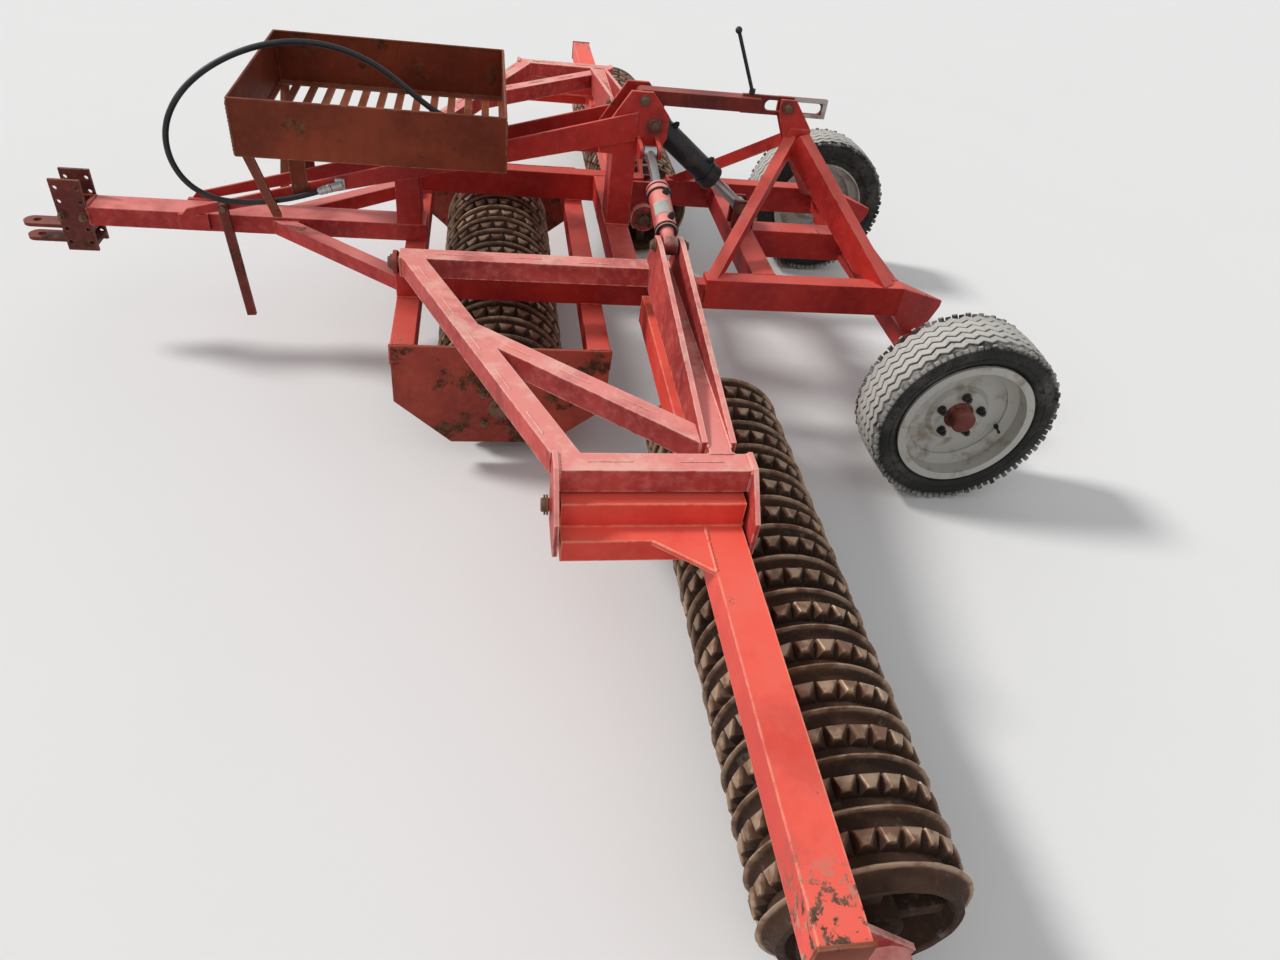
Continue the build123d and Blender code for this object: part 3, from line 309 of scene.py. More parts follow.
def weatheredPaint(name):
    look = paintLooks[name]
    material, tree, shader = newMaterial(name)
    where = placed(tree)
    outward, point = bothSides(tree, where)
    broad = noise(tree, where, 3.2, 5.0, 0.6)
    fine = noise(tree, where, 38.0, 6.0, 0.62)
    streaks = noise(tree, placed(tree, (26, 26, 4)), 1.0, 5.0, 0.6)
    grain = noise(tree, placed(tree, (9, 9, 9), (0.3, 0.1, 0.7)), 1.0, 8.0, 0.68)
    # uneven paint, paler where it faces the sky: sun-faded paint and painted light on the top faces
    colour = blendColour(tree, step(tree, broad, 0.35, 0.68), look["deep"], look["paint"])
    colour = blendColour(tree, times(tree, step(tree, streaks, 0.5, 0.72), 0.35), colour, look["deep"])
    # painted light: faces towards the sky made paler, together with the fading
    top = step(tree, upward(tree), 0.15, 0.95)
    fadeAndTopLight = times(tree, top, calc(tree, "ADD", step(tree, broad, 0.3, 0.62), 0.42))
    colour = blendColour(tree, times(tree, fadeAndTopLight, look["bleachAndTopLight"]), colour, look["bleachedAndLit"])
    mottle = times(tree, step(tree, fine, 0.42, 0.75), look["mottle"])
    colour = blendColour(tree, mottle, colour, look["bleachedAndLit"])
    if "chalk" in look:
        chalk = times(tree, step(tree, grain, 0.46, 0.62), times(tree, top, 0.5))
        colour = blendColour(tree, chalk, colour, look["chalk"])
    # worn edges, then rust in patches and chips
    worn = step(tree, fine, 0.60 - look["edgeWear"] * 0.35, 0.60)
    edges = times(tree, edgeMask(tree, look["edgeRadius"]), worn)
    colour = blendColour(tree, times(tree, edges, 0.85), colour, look["edge"])
    patches = step(tree, grain, 0.74 - look["rust"] * 0.25, 0.80 - look["rust"] * 0.25)
    chips = step(tree, noise(tree, where, 120.0, 3.0, 0.7), 0.78 - look["chips"] * 0.12, 0.80)
    chips = times(tree, chips, step(tree, broad, 0.42, 0.6))
    if "peel" in look:
        # flaked off towards the outer ends
        flakes = step(tree, noise(tree, where, 46.0, 6.0, 0.7), 0.50, 0.56)
        peel = times(tree, step(tree, outward, *look["peel"]), flakes)
        colour = blendColour(tree, peel, colour, look["bare"])
        patches = most(tree, patches, times(tree, peel, step(tree, grain, 0.46, 0.54)))
    rust = most(tree, most(tree, patches, chips), times(tree, edges, look["edgeRust"]))
    rustColour = blendColour(tree, step(tree, fine, 0.4, 0.66), rustColours["dark"], rustColours["mid"])
    colour = blendColour(tree, rust, colour, rustColour)
    dust = times(tree, times(tree, top, step(tree, grain, 0.4, 0.7)), look["dust"])
    colour = blendColour(tree, dust, colour, rustColours["dust"])
    if "stains" in look:
        # old grease round each pin, the same on both sides of the machine
        oil = 0.0
        for *pin, reach in look["stains"]:
            oil = most(tree, oil, step(tree, measure(tree, "DISTANCE", point, pin), reach, reach * 0.35))
        oil = times(tree, oil, step(tree, grain, 0.34, 0.58))
        colour = blendColour(tree, times(tree, oil, 0.85), colour, rustColours["oil"])
    height = calc(tree, "SUBTRACT", times(tree, fine, 0.5), times(tree, rust, 0.5))
    dents = bump(tree, noise(tree, where, 7.0, 2.0, 0.4), 0.6, 0.010) if "dents" in look else None
    feed(tree, shader, {
        "Base Color": colour, "Specular IOR Level": look["gloss"],
        "Roughness": calc(tree, "ADD", ranged(tree, rust, 0.46, 0.9), times(tree, fine, 0.12)),
        "Normal": bump(tree, height, 0.35, 0.0014, dents),
    })
    return material


materials = {name: weatheredPaint(name) for name in paintLooks}
print("paint mixed")

# Bare and other metals, rubber

plainLooks = {
    "blackPaint": {"clean": (0.011, 0.011, 0.013), "dull": (0.060, 0.045, 0.036),
                   "metallic": 0.0, "roughness": 0.42, "dulled": 0.6},
    "rimPaint": {"clean": (0.42, 0.405, 0.365), "dull": (0.235, 0.195, 0.15),
                 "metallic": 0.0, "roughness": 0.5, "dulled": 0.7},
    "platedSteel": {"clean": (0.42, 0.42, 0.41), "dull": (0.24, 0.20, 0.16),
                    "metallic": 0.7, "roughness": 0.45, "dulled": 0.6},
    "rodChrome": {"clean": (0.36, 0.355, 0.35), "dull": (0.20, 0.16, 0.13),
                  "metallic": 0.85, "roughness": 0.28, "dulled": 0.4},
    "rustySteel": {"clean": (0.16, 0.085, 0.05), "dull": (0.07, 0.035, 0.022),
                   "metallic": 0.3, "roughness": 0.6, "dulled": 0.8},
    "galvanised": {"clean": (0.44, 0.42, 0.38), "dull": (0.20, 0.13, 0.09),
                   "metallic": 0.45, "roughness": 0.5, "dulled": 0.6},
    "rubber": {"clean": (0.017, 0.016, 0.015), "dull": (0.58, 0.555, 0.505),
               "metallic": 0.0, "roughness": 0.75, "dulled": 0.3},
}
castLook = {
    "rust": (0.038, 0.020, 0.013), "brown": (0.110, 0.053, 0.030), "rubbed": (0.45, 0.305, 0.205),
    "tan": (0.185, 0.088, 0.050),
    # the inner band darkens as painted shade with dirt, the outer band is rubbed bright
    "grooveShadeAndDirt": (0.010, 0.024), "crest": (0.013, 0.004),  # how far below the outermost edge each starts and ends
}
treadLook = {"tread": (0.2905, 0.2975), "shoulder": (0.272, 0.289)}  # radius where the dust starts and is full


def plainMetal(name, clean, dull, metallic, roughness, dulled):
    material, tree, shader = newMaterial(name)
    where = placed(tree)
    broad = noise(tree, where, 16.0, 6.0, 0.62)
    fine = noise(tree, where, 96.0, 5.0, 0.6)
    mask = times(tree, step(tree, broad, 0.62 - dulled * 0.2, 0.70), 0.9)
    mask = most(tree, mask, times(tree, step(tree, fine, 0.6, 0.8), dulled))
    feed(tree, shader, {
        "Base Color": blendColour(tree, mask, clean, dull), "Metallic": metallic, "Specular IOR Level": 0.35,
        "Roughness": ranged(tree, mask, roughness, min(0.9, roughness + 0.4)),
        "Normal": bump(tree, fine, 0.25, 0.0008),
    })
    return material


def castRing(node):
    look = castLook
    low, high, axle = nodeBox(node)
    radius = (high.x - low.x) / 2
    material, tree, shader = newMaterial(node)
    where = placed(tree)
    broad = noise(tree, where, 7.0, 6.0, 0.62)
    fine = noise(tree, where, 60.0, 6.0, 0.66)
    bands = noise(tree, placed(tree, (0.4, 13, 0.4)), 1.0, 2.0)  # one ring darker than the next
    colour = blendColour(tree, step(tree, broad, 0.36, 0.66), look["rust"], look["brown"])
    colour = blendColour(tree, times(tree, step(tree, bands, 0.42, 0.62), 0.5), colour, look["rust"])
    colour = blendColour(tree, times(tree, step(tree, fine, 0.5, 0.8), 0.22), colour, look["rubbed"])
    # dark between the teeth, as painted shade with dirt; rubbed along the crests
    reach = axleReach(tree, axle)
    grooveShadeAndDirt, crest = (
        step(tree, reach, radius - look[band][0], radius - look[band][1]) for band in ("grooveShadeAndDirt", "crest")
    )
    # painted shade with dirt: the grooves darken towards the axle
    colour = blendColour(tree, times(tree, grooveShadeAndDirt, 0.62), colour, look["rust"])
    crest = times(tree, crest, step(tree, broad, 0.22, 0.46))
    patches = times(tree, step(tree, noise(tree, where, 20.0, 3.0, 0.6), 0.44, 0.60), 0.8)
    worn = blendColour(tree, patches, look["rubbed"], look["tan"])
    colour = blendColour(tree, times(tree, crest, 0.85), colour, worn)
    soil = times(tree, step(tree, noise(tree, where, 18.0, 5.0, 0.7), 0.56, 0.74), 0.22)
    height = calc(tree, "ADD", times(tree, broad, 0.6), times(tree, fine, 0.4))
    feed(tree, shader, {
        "Base Color": blendColour(tree, soil, colour, rustColours["dust"]), "Specular IOR Level": 0.22,
        "Roughness": ranged(tree, crest, 0.86, 0.48), "Metallic": times(tree, crest, 0.45),
        "Normal": bump(tree, height, 0.5, 0.002),
    })
    return material


def dustyRubber(name, axle):
    # dark flanks, and a tread that is pale with dust where it stands proud
    look = treadLook
    material, tree, shader = newMaterial(name)
    where = placed(tree)
    broad = noise(tree, where, 9.0, 5.0, 0.6)
    fine = noise(tree, where, 70.0, 5.0, 0.65)
    reach = axleReach(tree, axle)
    tread = times(tree, step(tree, reach, *look["tread"]), step(tree, broad, 0.10, 0.42))
    shoulder = times(tree, step(tree, reach, *look["shoulder"]), step(tree, broad, 0.38, 0.60))
    film = times(tree, step(tree, noise(tree, where, 5.0, 6.0, 0.7), 0.42, 0.85), 0.16)
    dust = most(tree, times(tree, tread, 0.88), times(tree, shoulder, 0.5))
    dust = most(tree, dust, film)
    dust = calc(tree, "SUBTRACT", dust, times(tree, step(tree, fine, 0.52, 0.72), 0.28))
    height = calc(tree, "ADD", times(tree, fine, 0.5), times(tree, broad, 0.3))
    feed(tree, shader, {
        "Base Color": blendColour(tree, dust, plainLooks["rubber"]["clean"], plainLooks["rubber"]["dull"]),
        "Specular IOR Level": 0.2, "Roughness": ranged(tree, dust, 0.66, 0.95),
        "Normal": bump(tree, height, 0.3, 0.001),
    })
    return material


for name, look in plainLooks.items():
    materials[name] = plainMetal(name, **look)
for node in ("roller_centre", "roller_near", "roller_far"):
    materials[node] = castRing(node)
print("metals mixed")

# Finish of each node, and the width of its rounded edges; near and far nodes share one entry

slotFinishes = {
    "frame_paint": "framePaint", "wing_paint": "wingPaint", "rusty_sheet": "rustySheet",
    "tyre_rubber": "rubber", "rim_paint": "rimPaint", "black_paint": "blackPaint",
    "rod_chrome": "rodChrome", "plated_steel": "platedSteel", "hose_rubber": "rubber",
}
nodeFinishes = {
    "side_plate": "platePaint", "gang_beam": "gangPaint", "hitch": "hitchPaint", "drawbar": "drawbarPaint",
    "lock_stay": "shadedStayPaint", "stay_handle": "blackPaint", "lift_lever": "shadedStayPaint",
    "stand_pin": "rustySteel", "parking_stand": "hitchPaint",
}
edgeWidths = {
    0.006: ("gang_beam",),
    0.004: ("side_beams", "cross_tubes", "front_post", "wing_arm", "rear_beam", "wheel_frame_cross_beams",
            "axle_beam"),
    0.0035: ("drawbar",),
    0.0025: ("tower", "a_frame"),
    0.0018: ("wing_levers", "pivot_plates", "upper_brace", "parking_stand", "gang_brackets", "wing_lugs",
             "lift_lever"),
    0.0015: ("lock_stay",),
    0.0012: ("side_plate",),
}


def roundEdges(piece, width):
    # one closed mesh with flat faces made whole, then small rounded edges
    weld = piece.modifiers.new("joinedFaces", "WELD")
    weld.merge_threshold = 0.00002
    flat = piece.modifiers.new("wholeFaces", "DECIMATE")
    flat.decimate_type = "DISSOLVE"
    flat.angle_limit = math.radians(1.0)
    soft = piece.modifiers.new("softEdges", "BEVEL")
    soft.width = width
    soft.segments = 2
    soft.limit_method = "ANGLE"
    soft.angle_limit = math.radians(40)
    soft.harden_normals = True


slots = {part["node"]: part["material_slot"] for part in frame["record"]["subparts"]}
for node, piece in nodes.items():
    kind = node.removesuffix("_near").removesuffix("_far")
    finish = materials.get(node) or materials[nodeFinishes.get(kind) or slotFinishes[slots[node]]]
    if not piece.material_slots:
        piece.data.materials.append(finish)
    for slot in piece.material_slots:
        slot.material = finish
    for width, kinds in edgeWidths.items():
        if kind in kinds:
            roundEdges(piece, width)
print("nodes painted")

# Helpers for the added pieces


def finishPiece(bm, name, finish, body, smoothAngle=35.0, covers=()):
    bmesh.ops.recalc_face_normals(bm, faces=bm.faces)
    mesh = bpy.data.meshes.new(name)
    bm.to_mesh(mesh)
    bm.free()
    mesh.materials.append(materials[finish])
    mesh.polygons.foreach_set("use_smooth", [True] * len(mesh.polygons))
    mesh.set_sharp_from_angle(angle=math.radians(smoothAngle))
    piece = bpy.data.objects.new(name, mesh)
    bpy.context.collection.objects.link(piece)
    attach(piece, body)
    if covers:
        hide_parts(*covers)
    return piece


def addShape(bm, shape):
    # a shape that was made on its own joins the piece
    mesh = bpy.data.meshes.new("shape")
    shape.to_mesh(mesh)
    shape.free()
    bm.from_mesh(mesh)
    bpy.data.meshes.remove(mesh)


def closedLoop(bm, points):
    ring = [bm.verts.new(point) for point in points]
    return ring, [bm.edges.new(pair) for pair in zip(ring, ring[1:] + ring[:1])]


def spun(bm, profile, centre, axis, steps):
    # profile holds (radius, height) pairs; the loop closes on itself
    axis = Vector(axis).normalized()
    out = axis.orthogonal().normalized()
    centre = Vector(centre)
    shape = bmesh.new()
    ring, edges = closedLoop(shape, [centre + out * radius + axis * height for radius, height in profile])
    bmesh.ops.spin(
        shape, geom=ring + edges, cent=centre, axis=axis, angle=math.tau, steps=steps, use_merge=True,
    )
    bmesh.ops.remove_doubles(shape, verts=shape.verts, dist=0.00001)
    addShape(bm, shape)


def rounded(shape, edges, offset, segments):
    bmesh.ops.bevel(
        shape, geom=edges, offset=offset, affect="EDGES", segments=segments, profile=0.5, material=-1,
    )


def turned(centre, axis):
    return Matrix.Translation(centre) @ Vector(axis).to_track_quat("Z", "Y").to_matrix().to_4x4()


def disc(bm, centre, axis, radius, height, segments=20, rounding=0.0, roundSteps=2):
    # a round or many-sided pad with rounded rims
    pad = bmesh.new()
    bmesh.ops.create_cone(
        pad, cap_ends=True, segments=segments, radius1=radius, radius2=radius, depth=height,
        matrix=turned(centre, axis),
    )
    if rounding:
        rims = [edge for edge in pad.edges if any(len(face.verts) == segments for face in edge.link_faces)]
        rounded(pad, rims, rounding, roundSteps)
    addShape(bm, pad)


def hexHead(bm, centre, axis, across, height):
    disc(bm, centre, axis, across * 0.577, height, 6, across * 0.06, 1)


def roundedBox(bm, place, size, rounding, roundSteps=1):
    # place is a point, or a matrix where the box is turned
    box = bmesh.new()
    seat = place if isinstance(place, Matrix) else Matrix.Translation(place)
    bmesh.ops.create_cube(box, size=1.0, matrix=seat @ Matrix.Diagonal((*size, 1)))
    rounded(box, list(box.edges), rounding, roundSteps)
    addShape(bm, box)


def boltSet(bm, centre, axis, across, stud=0.006):
    # washer, nut and the end of the bolt, standing on the face at centre
    centre, axis = Vector(centre), Vector(axis).normalized()
    washer, nut = 0.0024, across * 0.72
    disc(bm, centre + axis * washer / 2, axis, across * 0.72, washer, 18)
    hexHead(bm, centre + axis * (washer + nut / 2), axis, across, nut)
    disc(bm, centre + axis * (washer + nut + stud / 2), axis, across * 0.3, stud, 12, 0.0008)


def around(centre, reach, count, start):
    # places on a circle about an axle that runs along y
    angles = [math.radians(start + 360 / count * place) for place in range(count)]
    return [centre + Vector((reach * math.cos(angle), 0, reach * math.sin(angle))) for angle in angles]


# Ring packs: smooth rings with a toothed ring between each two

ringLook = {
    "ringWidth": 0.066, "starWidth": 0.038, "root": 0.175, "crest": 0.205, "starTip": 0.200, "starBore": 0.160,
    "wave": [(0, 0), (0.16, 0.04), (0.31, 0.17), (0.405, 0.42), (0.445, 0.76), (0.47, 0.96), (0.5, 1),
             (0.53, 0.96), (0.555, 0.76), (0.595, 0.42), (0.69, 0.17), (0.84, 0.04), (1, 0)],
    "teeth": 26, "toothShare": 0.955, "toothTaper": 0.0092, "toothRound": 0.0022, "toothSlant": 0.0030,
    "toothBack": (0.0095, 0.0045), "toothFront": (-0.0050, -0.0038), "steps": 84,
    "recess": 0.146, "recessDepth": 0.082, "hub": 0.062, "collar": 0.042, "collarLength": 0.020, "axle": 0.025,
    "spokes": 4, "spokeWidth": 0.040,
    # beyond which radius, most inwards, most outwards, most to a side
    "ringKnocks": (0.15, -0.0009, 0.0005, 0.0005), "toothKnocks": (0.18, -0.003, 0.0004, 0.0016),
}


def starRing():
    # one toothed ring about the y axis, from y = 0
    look = ringLook
    root, width = look["root"], look["starWidth"]
    pitch = math.tau / look["teeth"]
    wide = pitch * look["toothShare"]
    bm = bmesh.new()
    corners = [(look["starBore"], 0), (root, 0), (root, width), (look["starBore"], width)]
    ring, edges = closedLoop(bm, [(radius, y, 0) for radius, y in corners])
    current = ring + edges
    for tooth in range(look["teeth"]):
        for angle in (wide, pitch - wide):
            made = bmesh.ops.spin(bm, geom=current, cent=(0, 0, 0), axis=(0, 1, 0), angle=angle, steps=1)
            current = made["geom_last"]
    bmesh.ops.remove_doubles(bm, verts=bm.verts, dist=0.00002)
    bmesh.ops.recalc_face_normals(bm, faces=bm.faces)
    outer = [face for face in bm.faces
             if face.calc_center_median().xz.length > root - 0.006 and abs(face.normal.y) < 0.5]
    widest = max(face.calc_area() for face in outer)
    tops = [face for face in outer if face.calc_area() > widest * 0.8]
    depth = look["starTip"] - root + 0.0035
    bmesh.ops.inset_individual(bm, faces=tops, thickness=look["toothTaper"], depth=depth, use_even_offset=True)
    for top in tops:
        # wide at the far edge and nearly pointed at the near one, so that a row of teeth reads as a saw
        middle = top.calc_center_median()
        along = Vector((-middle.z, 0, middle.x)).normalized()
        for vert in top.verts:
            side = 1 if (vert.co - middle).dot(along) > 0 else -1
            back = vert.co.y > width / 2
            spread, reach = look["toothBack" if back else "toothFront"]
            vert.co += along * (side * spread + look["toothSlant"] * (-1 if back else 1))
            vert.co.y += reach
    rounded(bm, [edge for top in tops for edge in top.edges], look["toothRound"], 1)
    mesh = bpy.data.meshes.new("starRing")
    bm.to_mesh(mesh)
    bm.free()
    return mesh


def knock(verts, axle, dice, beyond, inwards, outwards, sideways):
    for vert in verts:
        radial = Vector((vert.co.x - axle.x, 0, vert.co.z - axle.z))
        if radial.length > beyond:
            vert.co += radial.normalized() * dice.uniform(inwards, outwards)
            vert.co.y += dice.uniform(-sideways, sideways)


def placeStar(bm, star, centre, dice):
    # a copy with its own turn and its own small knocks
    copy = star.copy()
    copy.transform(Matrix.Translation(centre) @ Matrix.Rotation(dice.uniform(0, math.tau), 4, "Y"))
    start = len(bm.verts)
    bm.from_mesh(copy)
    bpy.data.meshes.remove(copy)
    bm.verts.ensure_lookup_table()
    knock(bm.verts[start:], centre, dice, *ringLook["toothKnocks"])


def ringPack(name, rings, body, cover, star, dice):
    look = ringLook
    low, high, axle = nodeBox(cover)
    pitch = look["ringWidth"] + look["starWidth"]
    packWidth = rings * pitch - look["starWidth"]
    firstY = axle.y - packWidth / 2
    lastY = firstY + packWidth
    shaft, collar, hub, rim, depth = (look[key] for key in ("axle", "collar", "hub", "recess", "recessDepth"))
    shaftEnd, collarEnd, rise = low.y - firstY, -look["collarLength"], look["crest"] - look["root"]
    # from the axle's middle out to the first ring: radius, and how far inside the pack's face
    end = [(0.0004, shaftEnd), (shaft, shaftEnd), (shaft, collarEnd), (collar, collarEnd), (collar, 0), (hub, 0),
           (hub, depth), (rim - 0.012, depth), (rim, depth * 0.8), (rim + 0.012, 0.003), (rim + 0.016, 0)]
    profile = [(radius, firstY + inside) for radius, inside in end]
    for ring in range(rings):
        ringY = firstY + ring * pitch
        profile += [(look["root"] + rise * up, ringY + look["ringWidth"] * along) for along, up in look["wave"]]
    profile += [(radius, lastY - inside) for radius, inside in reversed(end)]
    bm = bmesh.new()
    spun(bm, profile, (axle.x, 0, axle.z), (0, 1, 0), look["steps"])
    knock(bm.verts, axle, dice, *look["ringKnocks"])
    for ring in range(rings - 1):
        starY = firstY + ring * pitch + look["ringWidth"]
        placeStar(bm, star, Vector((axle.x, starY, axle.z)), dice)
    for faceY, inward in ((firstY, 1), (lastY, -1)):
        turn = dice.uniform(0, math.tau)
        middle = Matrix.Translation((axle.x, faceY + inward * depth * 0.60, axle.z))
        for spoke in range(look["spokes"]):
            angle = Matrix.Rotation(turn + spoke * math.tau / look["spokes"], 4, "Y")
            place = middle @ angle @ Matrix.Translation(((hub + rim) / 2, 0, 0))
            roundedBox(bm, place, (rim - hub + 0.012, depth * 0.60, look["spokeWidth"]), 0.008, 2)
    finishPiece(bm, name, cover, body, 30.0, covers=[cover])


dice = random.Random(11)
star = starRing()
ringPack("centreRings", 13, "centre_roller", "roller_centre", star, dice)
ringPack("nearRings", 15, "gang_roller_near", "roller_near", star, dice)
ringPack("farRings", 15, "gang_roller_far", "roller_far", star, dice)
bpy.data.meshes.remove(star)
print("ring packs made")

# Tyres with zigzag ribs and shoulder blocks

tyreLook = {
    "radius": 0.300, "ribs": 5, "ribWidth": 0.0228, "grooveWidth": 0.0068, "ribFoot": 0.286,
    "bow": 0.0045,  # how much lower the tread is 70 mm out
    "waves": 42, "waveReach": 0.0066,
    "blocks": 42, "blockSeat": (0.2815, 0.0872, 0.0), "blockLean": -52, "blockRound": 0.0016,
    "blockSizes": ((0.012, 0.030, 0.0145), (0.012, 0.021, 0.0145)),
    "flankLines": ((0.246, 0.0952), (0.2265, 0.0878)),
    "halfSection": [(0.2895, 0.0), (0.2890, 0.0600), (0.2865, 0.0800), (0.280, 0.0895), (0.268, 0.0955),
                    (0.256, 0.0965), (0.240, 0.0945), (0.228, 0.089), (0.2185, 0.0785), (0.199, 0.074)],
}


def zigzag(angle, waves):
    turn = angle / math.tau * waves
    return 4 * abs(turn - math.floor(turn + 0.5)) - 1


def tyrePiece(side):
    look = tyreLook
    cover, name = "tyre_" + side, side.capitalize()
    centre = nodeBox(cover)[2]
    materials["treadRubber" + name] = dustyRubber("treadRubber" + name, centre)
    bm = bmesh.new()
    half = look["halfSection"]
    section = [(radius, -y) for radius, y in reversed(half[1:])] + half
    spun(bm, section, centre, (0, 1, 0), 96)
    pitch = look["ribWidth"] + look["grooveWidth"]
    wide, foot = look["ribWidth"] / 2, look["ribFoot"]
    for rib in range(look["ribs"]):
        middle = (rib - (look["ribs"] - 1) / 2) * pitch
        crown = look["radius"] - 0.0008 - look["bow"] * (abs(middle) / 0.07) ** 2
        start = len(bm.verts)
        profile = [(foot, -wide - 0.001), (crown - 0.0012, -wide), (crown, -wide + 0.0014),
                   (crown, wide - 0.0014), (crown - 0.0012, wide), (foot, wide + 0.001)]
        profile = [(radius, middle + y) for radius, y in profile]
        spun(bm, profile, centre, (0, 1, 0), look["waves"] * 4)
        bm.verts.ensure_lookup_table()
        for vert in bm.verts[start:]:
            angle = math.atan2(vert.co.z - centre.z, vert.co.x - centre.x)
            vert.co.y += look["waveReach"] * zigzag(angle, look["waves"])
    for way in (-1, 1):
        seat = Matrix.Translation(mirrored(look["blockSeat"], way))
        lean = Matrix.Rotation(math.radians(way * look["blockLean"]), 4, "Z")
        for block in range(look["blocks"] * 2):
            angle = Matrix.Rotation(block * math.pi / look["blocks"], 4, "Y")
            size = look["blockSizes"][block % 2]
            roundedBox(bm, Matrix.Translation(centre) @ angle @ seat @ lean, size, look["blockRound"])
    for way in (-1, 1):
        for radius, reach in look["flankLines"]:
            spun(bm, [(radius - 0.0016, way * (reach - 0.004)), (radius, way * (reach + 0.0014)),
                      (radius + 0.0016, way * (reach - 0.004))], centre, (0, 1, 0), 96)
    finishPiece(bm, "treadedTyre" + name, "treadRubber" + name, "road_wheel_" + side, 28.0,
                covers=[cover])


for name, side in sides:
    tyrePiece(name)
print("tyres made")

# Wheel nuts, hub cover and valve

wheelLook = {
    "bolts": 5, "boltCircle": 0.070, "nutAcross": 0.021, "capCircle": 0.0405, "capAcross": 0.0085,
    "faceDepth": 0.0335, "hubTop": 0.0755,
    "valveSeat": (0.150, 0.031, -0.045), "valveLean": (-0.25, 1.0, 0.1),
    # along the valve, radius, height, segments, rounding
    "valve": [(0.0, 0.0075, 0.012, 14, 0.002), (0.018, 0.0035, 0.030, 12, 0.0006), (0.034, 0.0046, 0.010, 14, 0.001)],
}


def wheelPieces(name, side):
    look = wheelLook
    centre = nodeBox("tyre_" + name)[2]
    body, ending, outward = "road_wheel_" + name, name.capitalize(), Vector((0, side, 0))
    top, base = look["hubTop"], look["faceDepth"]
    bm = bmesh.new()
    for spot in around(centre + outward * base, look["boltCircle"], look["bolts"], 90):
        disc(bm, spot + outward * 0.003, outward, 0.0145, 0.006, 20, 0.001)
        hexHead(bm, spot + outward * 0.0135, outward, look["nutAcross"], 0.017)
        disc(bm, spot + outward * 0.024, outward, 0.0062, 0.010, 12, 0.001)
    finishPiece(bm, "wheelNuts" + ending, "blackPaint", body)
    bm = bmesh.new()
    profile = [(0.0004, top - 0.004), (0.0004, top + 0.0075), (0.020, top + 0.007), (0.030, top + 0.005),
               (0.0355, top + 0.002), (0.0382, top - 0.002), (0.0382, base + 0.010), (0.0405, base + 0.008),
               (0.0440, base + 0.003), (0.0480, base + 0.0004), (0.0480, base - 0.0004),
               (0.0365, base - 0.001), (0.0365, top - 0.012)]
    spun(bm, [(radius, side * height) for radius, height in profile], centre, (0, 1, 0), 40)
    for spot in around(centre + outward * (base + 0.008), look["capCircle"], look["bolts"], 54):
        hexHead(bm, spot, outward, look["capAcross"], 0.006)
    finishPiece(bm, "hubCover" + ending, "hubPaint", body)
    bm = bmesh.new()
    seat, lean = centre + mirrored(look["valveSeat"], side), mirrored(look["valveLean"], side).normalized()
    for along, *rest in look["valve"]:
        disc(bm, seat + lean * along, lean, *rest)
    finishPiece(bm, "valve" + ending, "rubber", body)


for name, side in sides:
    wheelPieces(name, side)
print("wheels finished")

# Bolts, nuts, pin heads and the caps on the beams' ends

fastenerLook = {
    "hitchNut": 0.021, "tongueNut": 0.017, "bearingNut": 0.019, "gangNut": 0.013,
    "centreCircle": 0.07525, "gangCircle": 0.043,
}
pinLook = {  # place, axis and radius of each head on the far side; the near side mirrors it
    "frame": [((0.490, 0.4605, 0.468), (0, 1, 0), 0.022), ((0.490, 0.3605, 0.468), (0, -1, 0), 0.022),
              ((0.385, 0.0605, 0.866), (0, 1, 0), 0.021), ((0.345, 0.0605, 0.940), (0, 1, 0), 0.018)],
    "wheel_frame": [((0.830, 0.0235, 0.940), (0, 1, 0), 0.018),
                    ((0.735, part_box("lift_lever")[1][1] - 0.0075, 0.592), (0, 1, 0), 0.021)],
    "gang_": [((-0.0185, 1.505, 0.516), (-1, 0, 0), 0.023), ((0.4425, 1.505, 0.516), (1, 0, 0), 0.023)],
    "wing_": [((-0.4144, 0.546, 0.588), (-1, 0, 0), 0.024), ((0.4484, 0.546, 0.588), (1, 0, 0), 0.024),
              ((0.3246, 0.620, 0.715), (-1, 0, 0), 0.018), ((0.4054, 0.620, 0.715), (1, 0, 0), 0.018)],
}


def endCaps():
    for name, side in sides:
        low, high, middle = nodeBox("gang_beam_" + name)
        outerY = max(abs(low.y), abs(high.y)) - 0.0015
        for piece, x, y, size, rounding, finish, slot in (
            ("gangEndCap", 0.374, outerY, (0.094, 0.008, 0.094), 0.0016, "rustySheet", "rusty_sheet"),
            ("gangInnerCap", 0.375, 0.4985, (0.092, 0.006, 0.092), 0.0014, "gangPaint", "wing_paint"),
        ):
            bm = bmesh.new()
            roundedBox(bm, (x, side * y, 0.440), size, rounding, 2)
            finishPiece(bm, piece + name.capitalize(), finish, "gang_" + name)


def hitchBolts():
    bm = bmesh.new()
    for side in (-1, 1):
        for x in (-1.481, -1.419):
            boltSet(bm, (x, side * 0.050, 0.446), (0, side, 0), fastenerLook["hitchNut"], 0.012)
    for z, way in ((0.4195, 1), (0.3305, -1)):
        boltSet(bm, (-1.447, 0.0, z), (0, 0, way), fastenerLook["tongueNut"], 0.004)
    finishPiece(bm, "hitchBolts", "rustySteel", "frame")


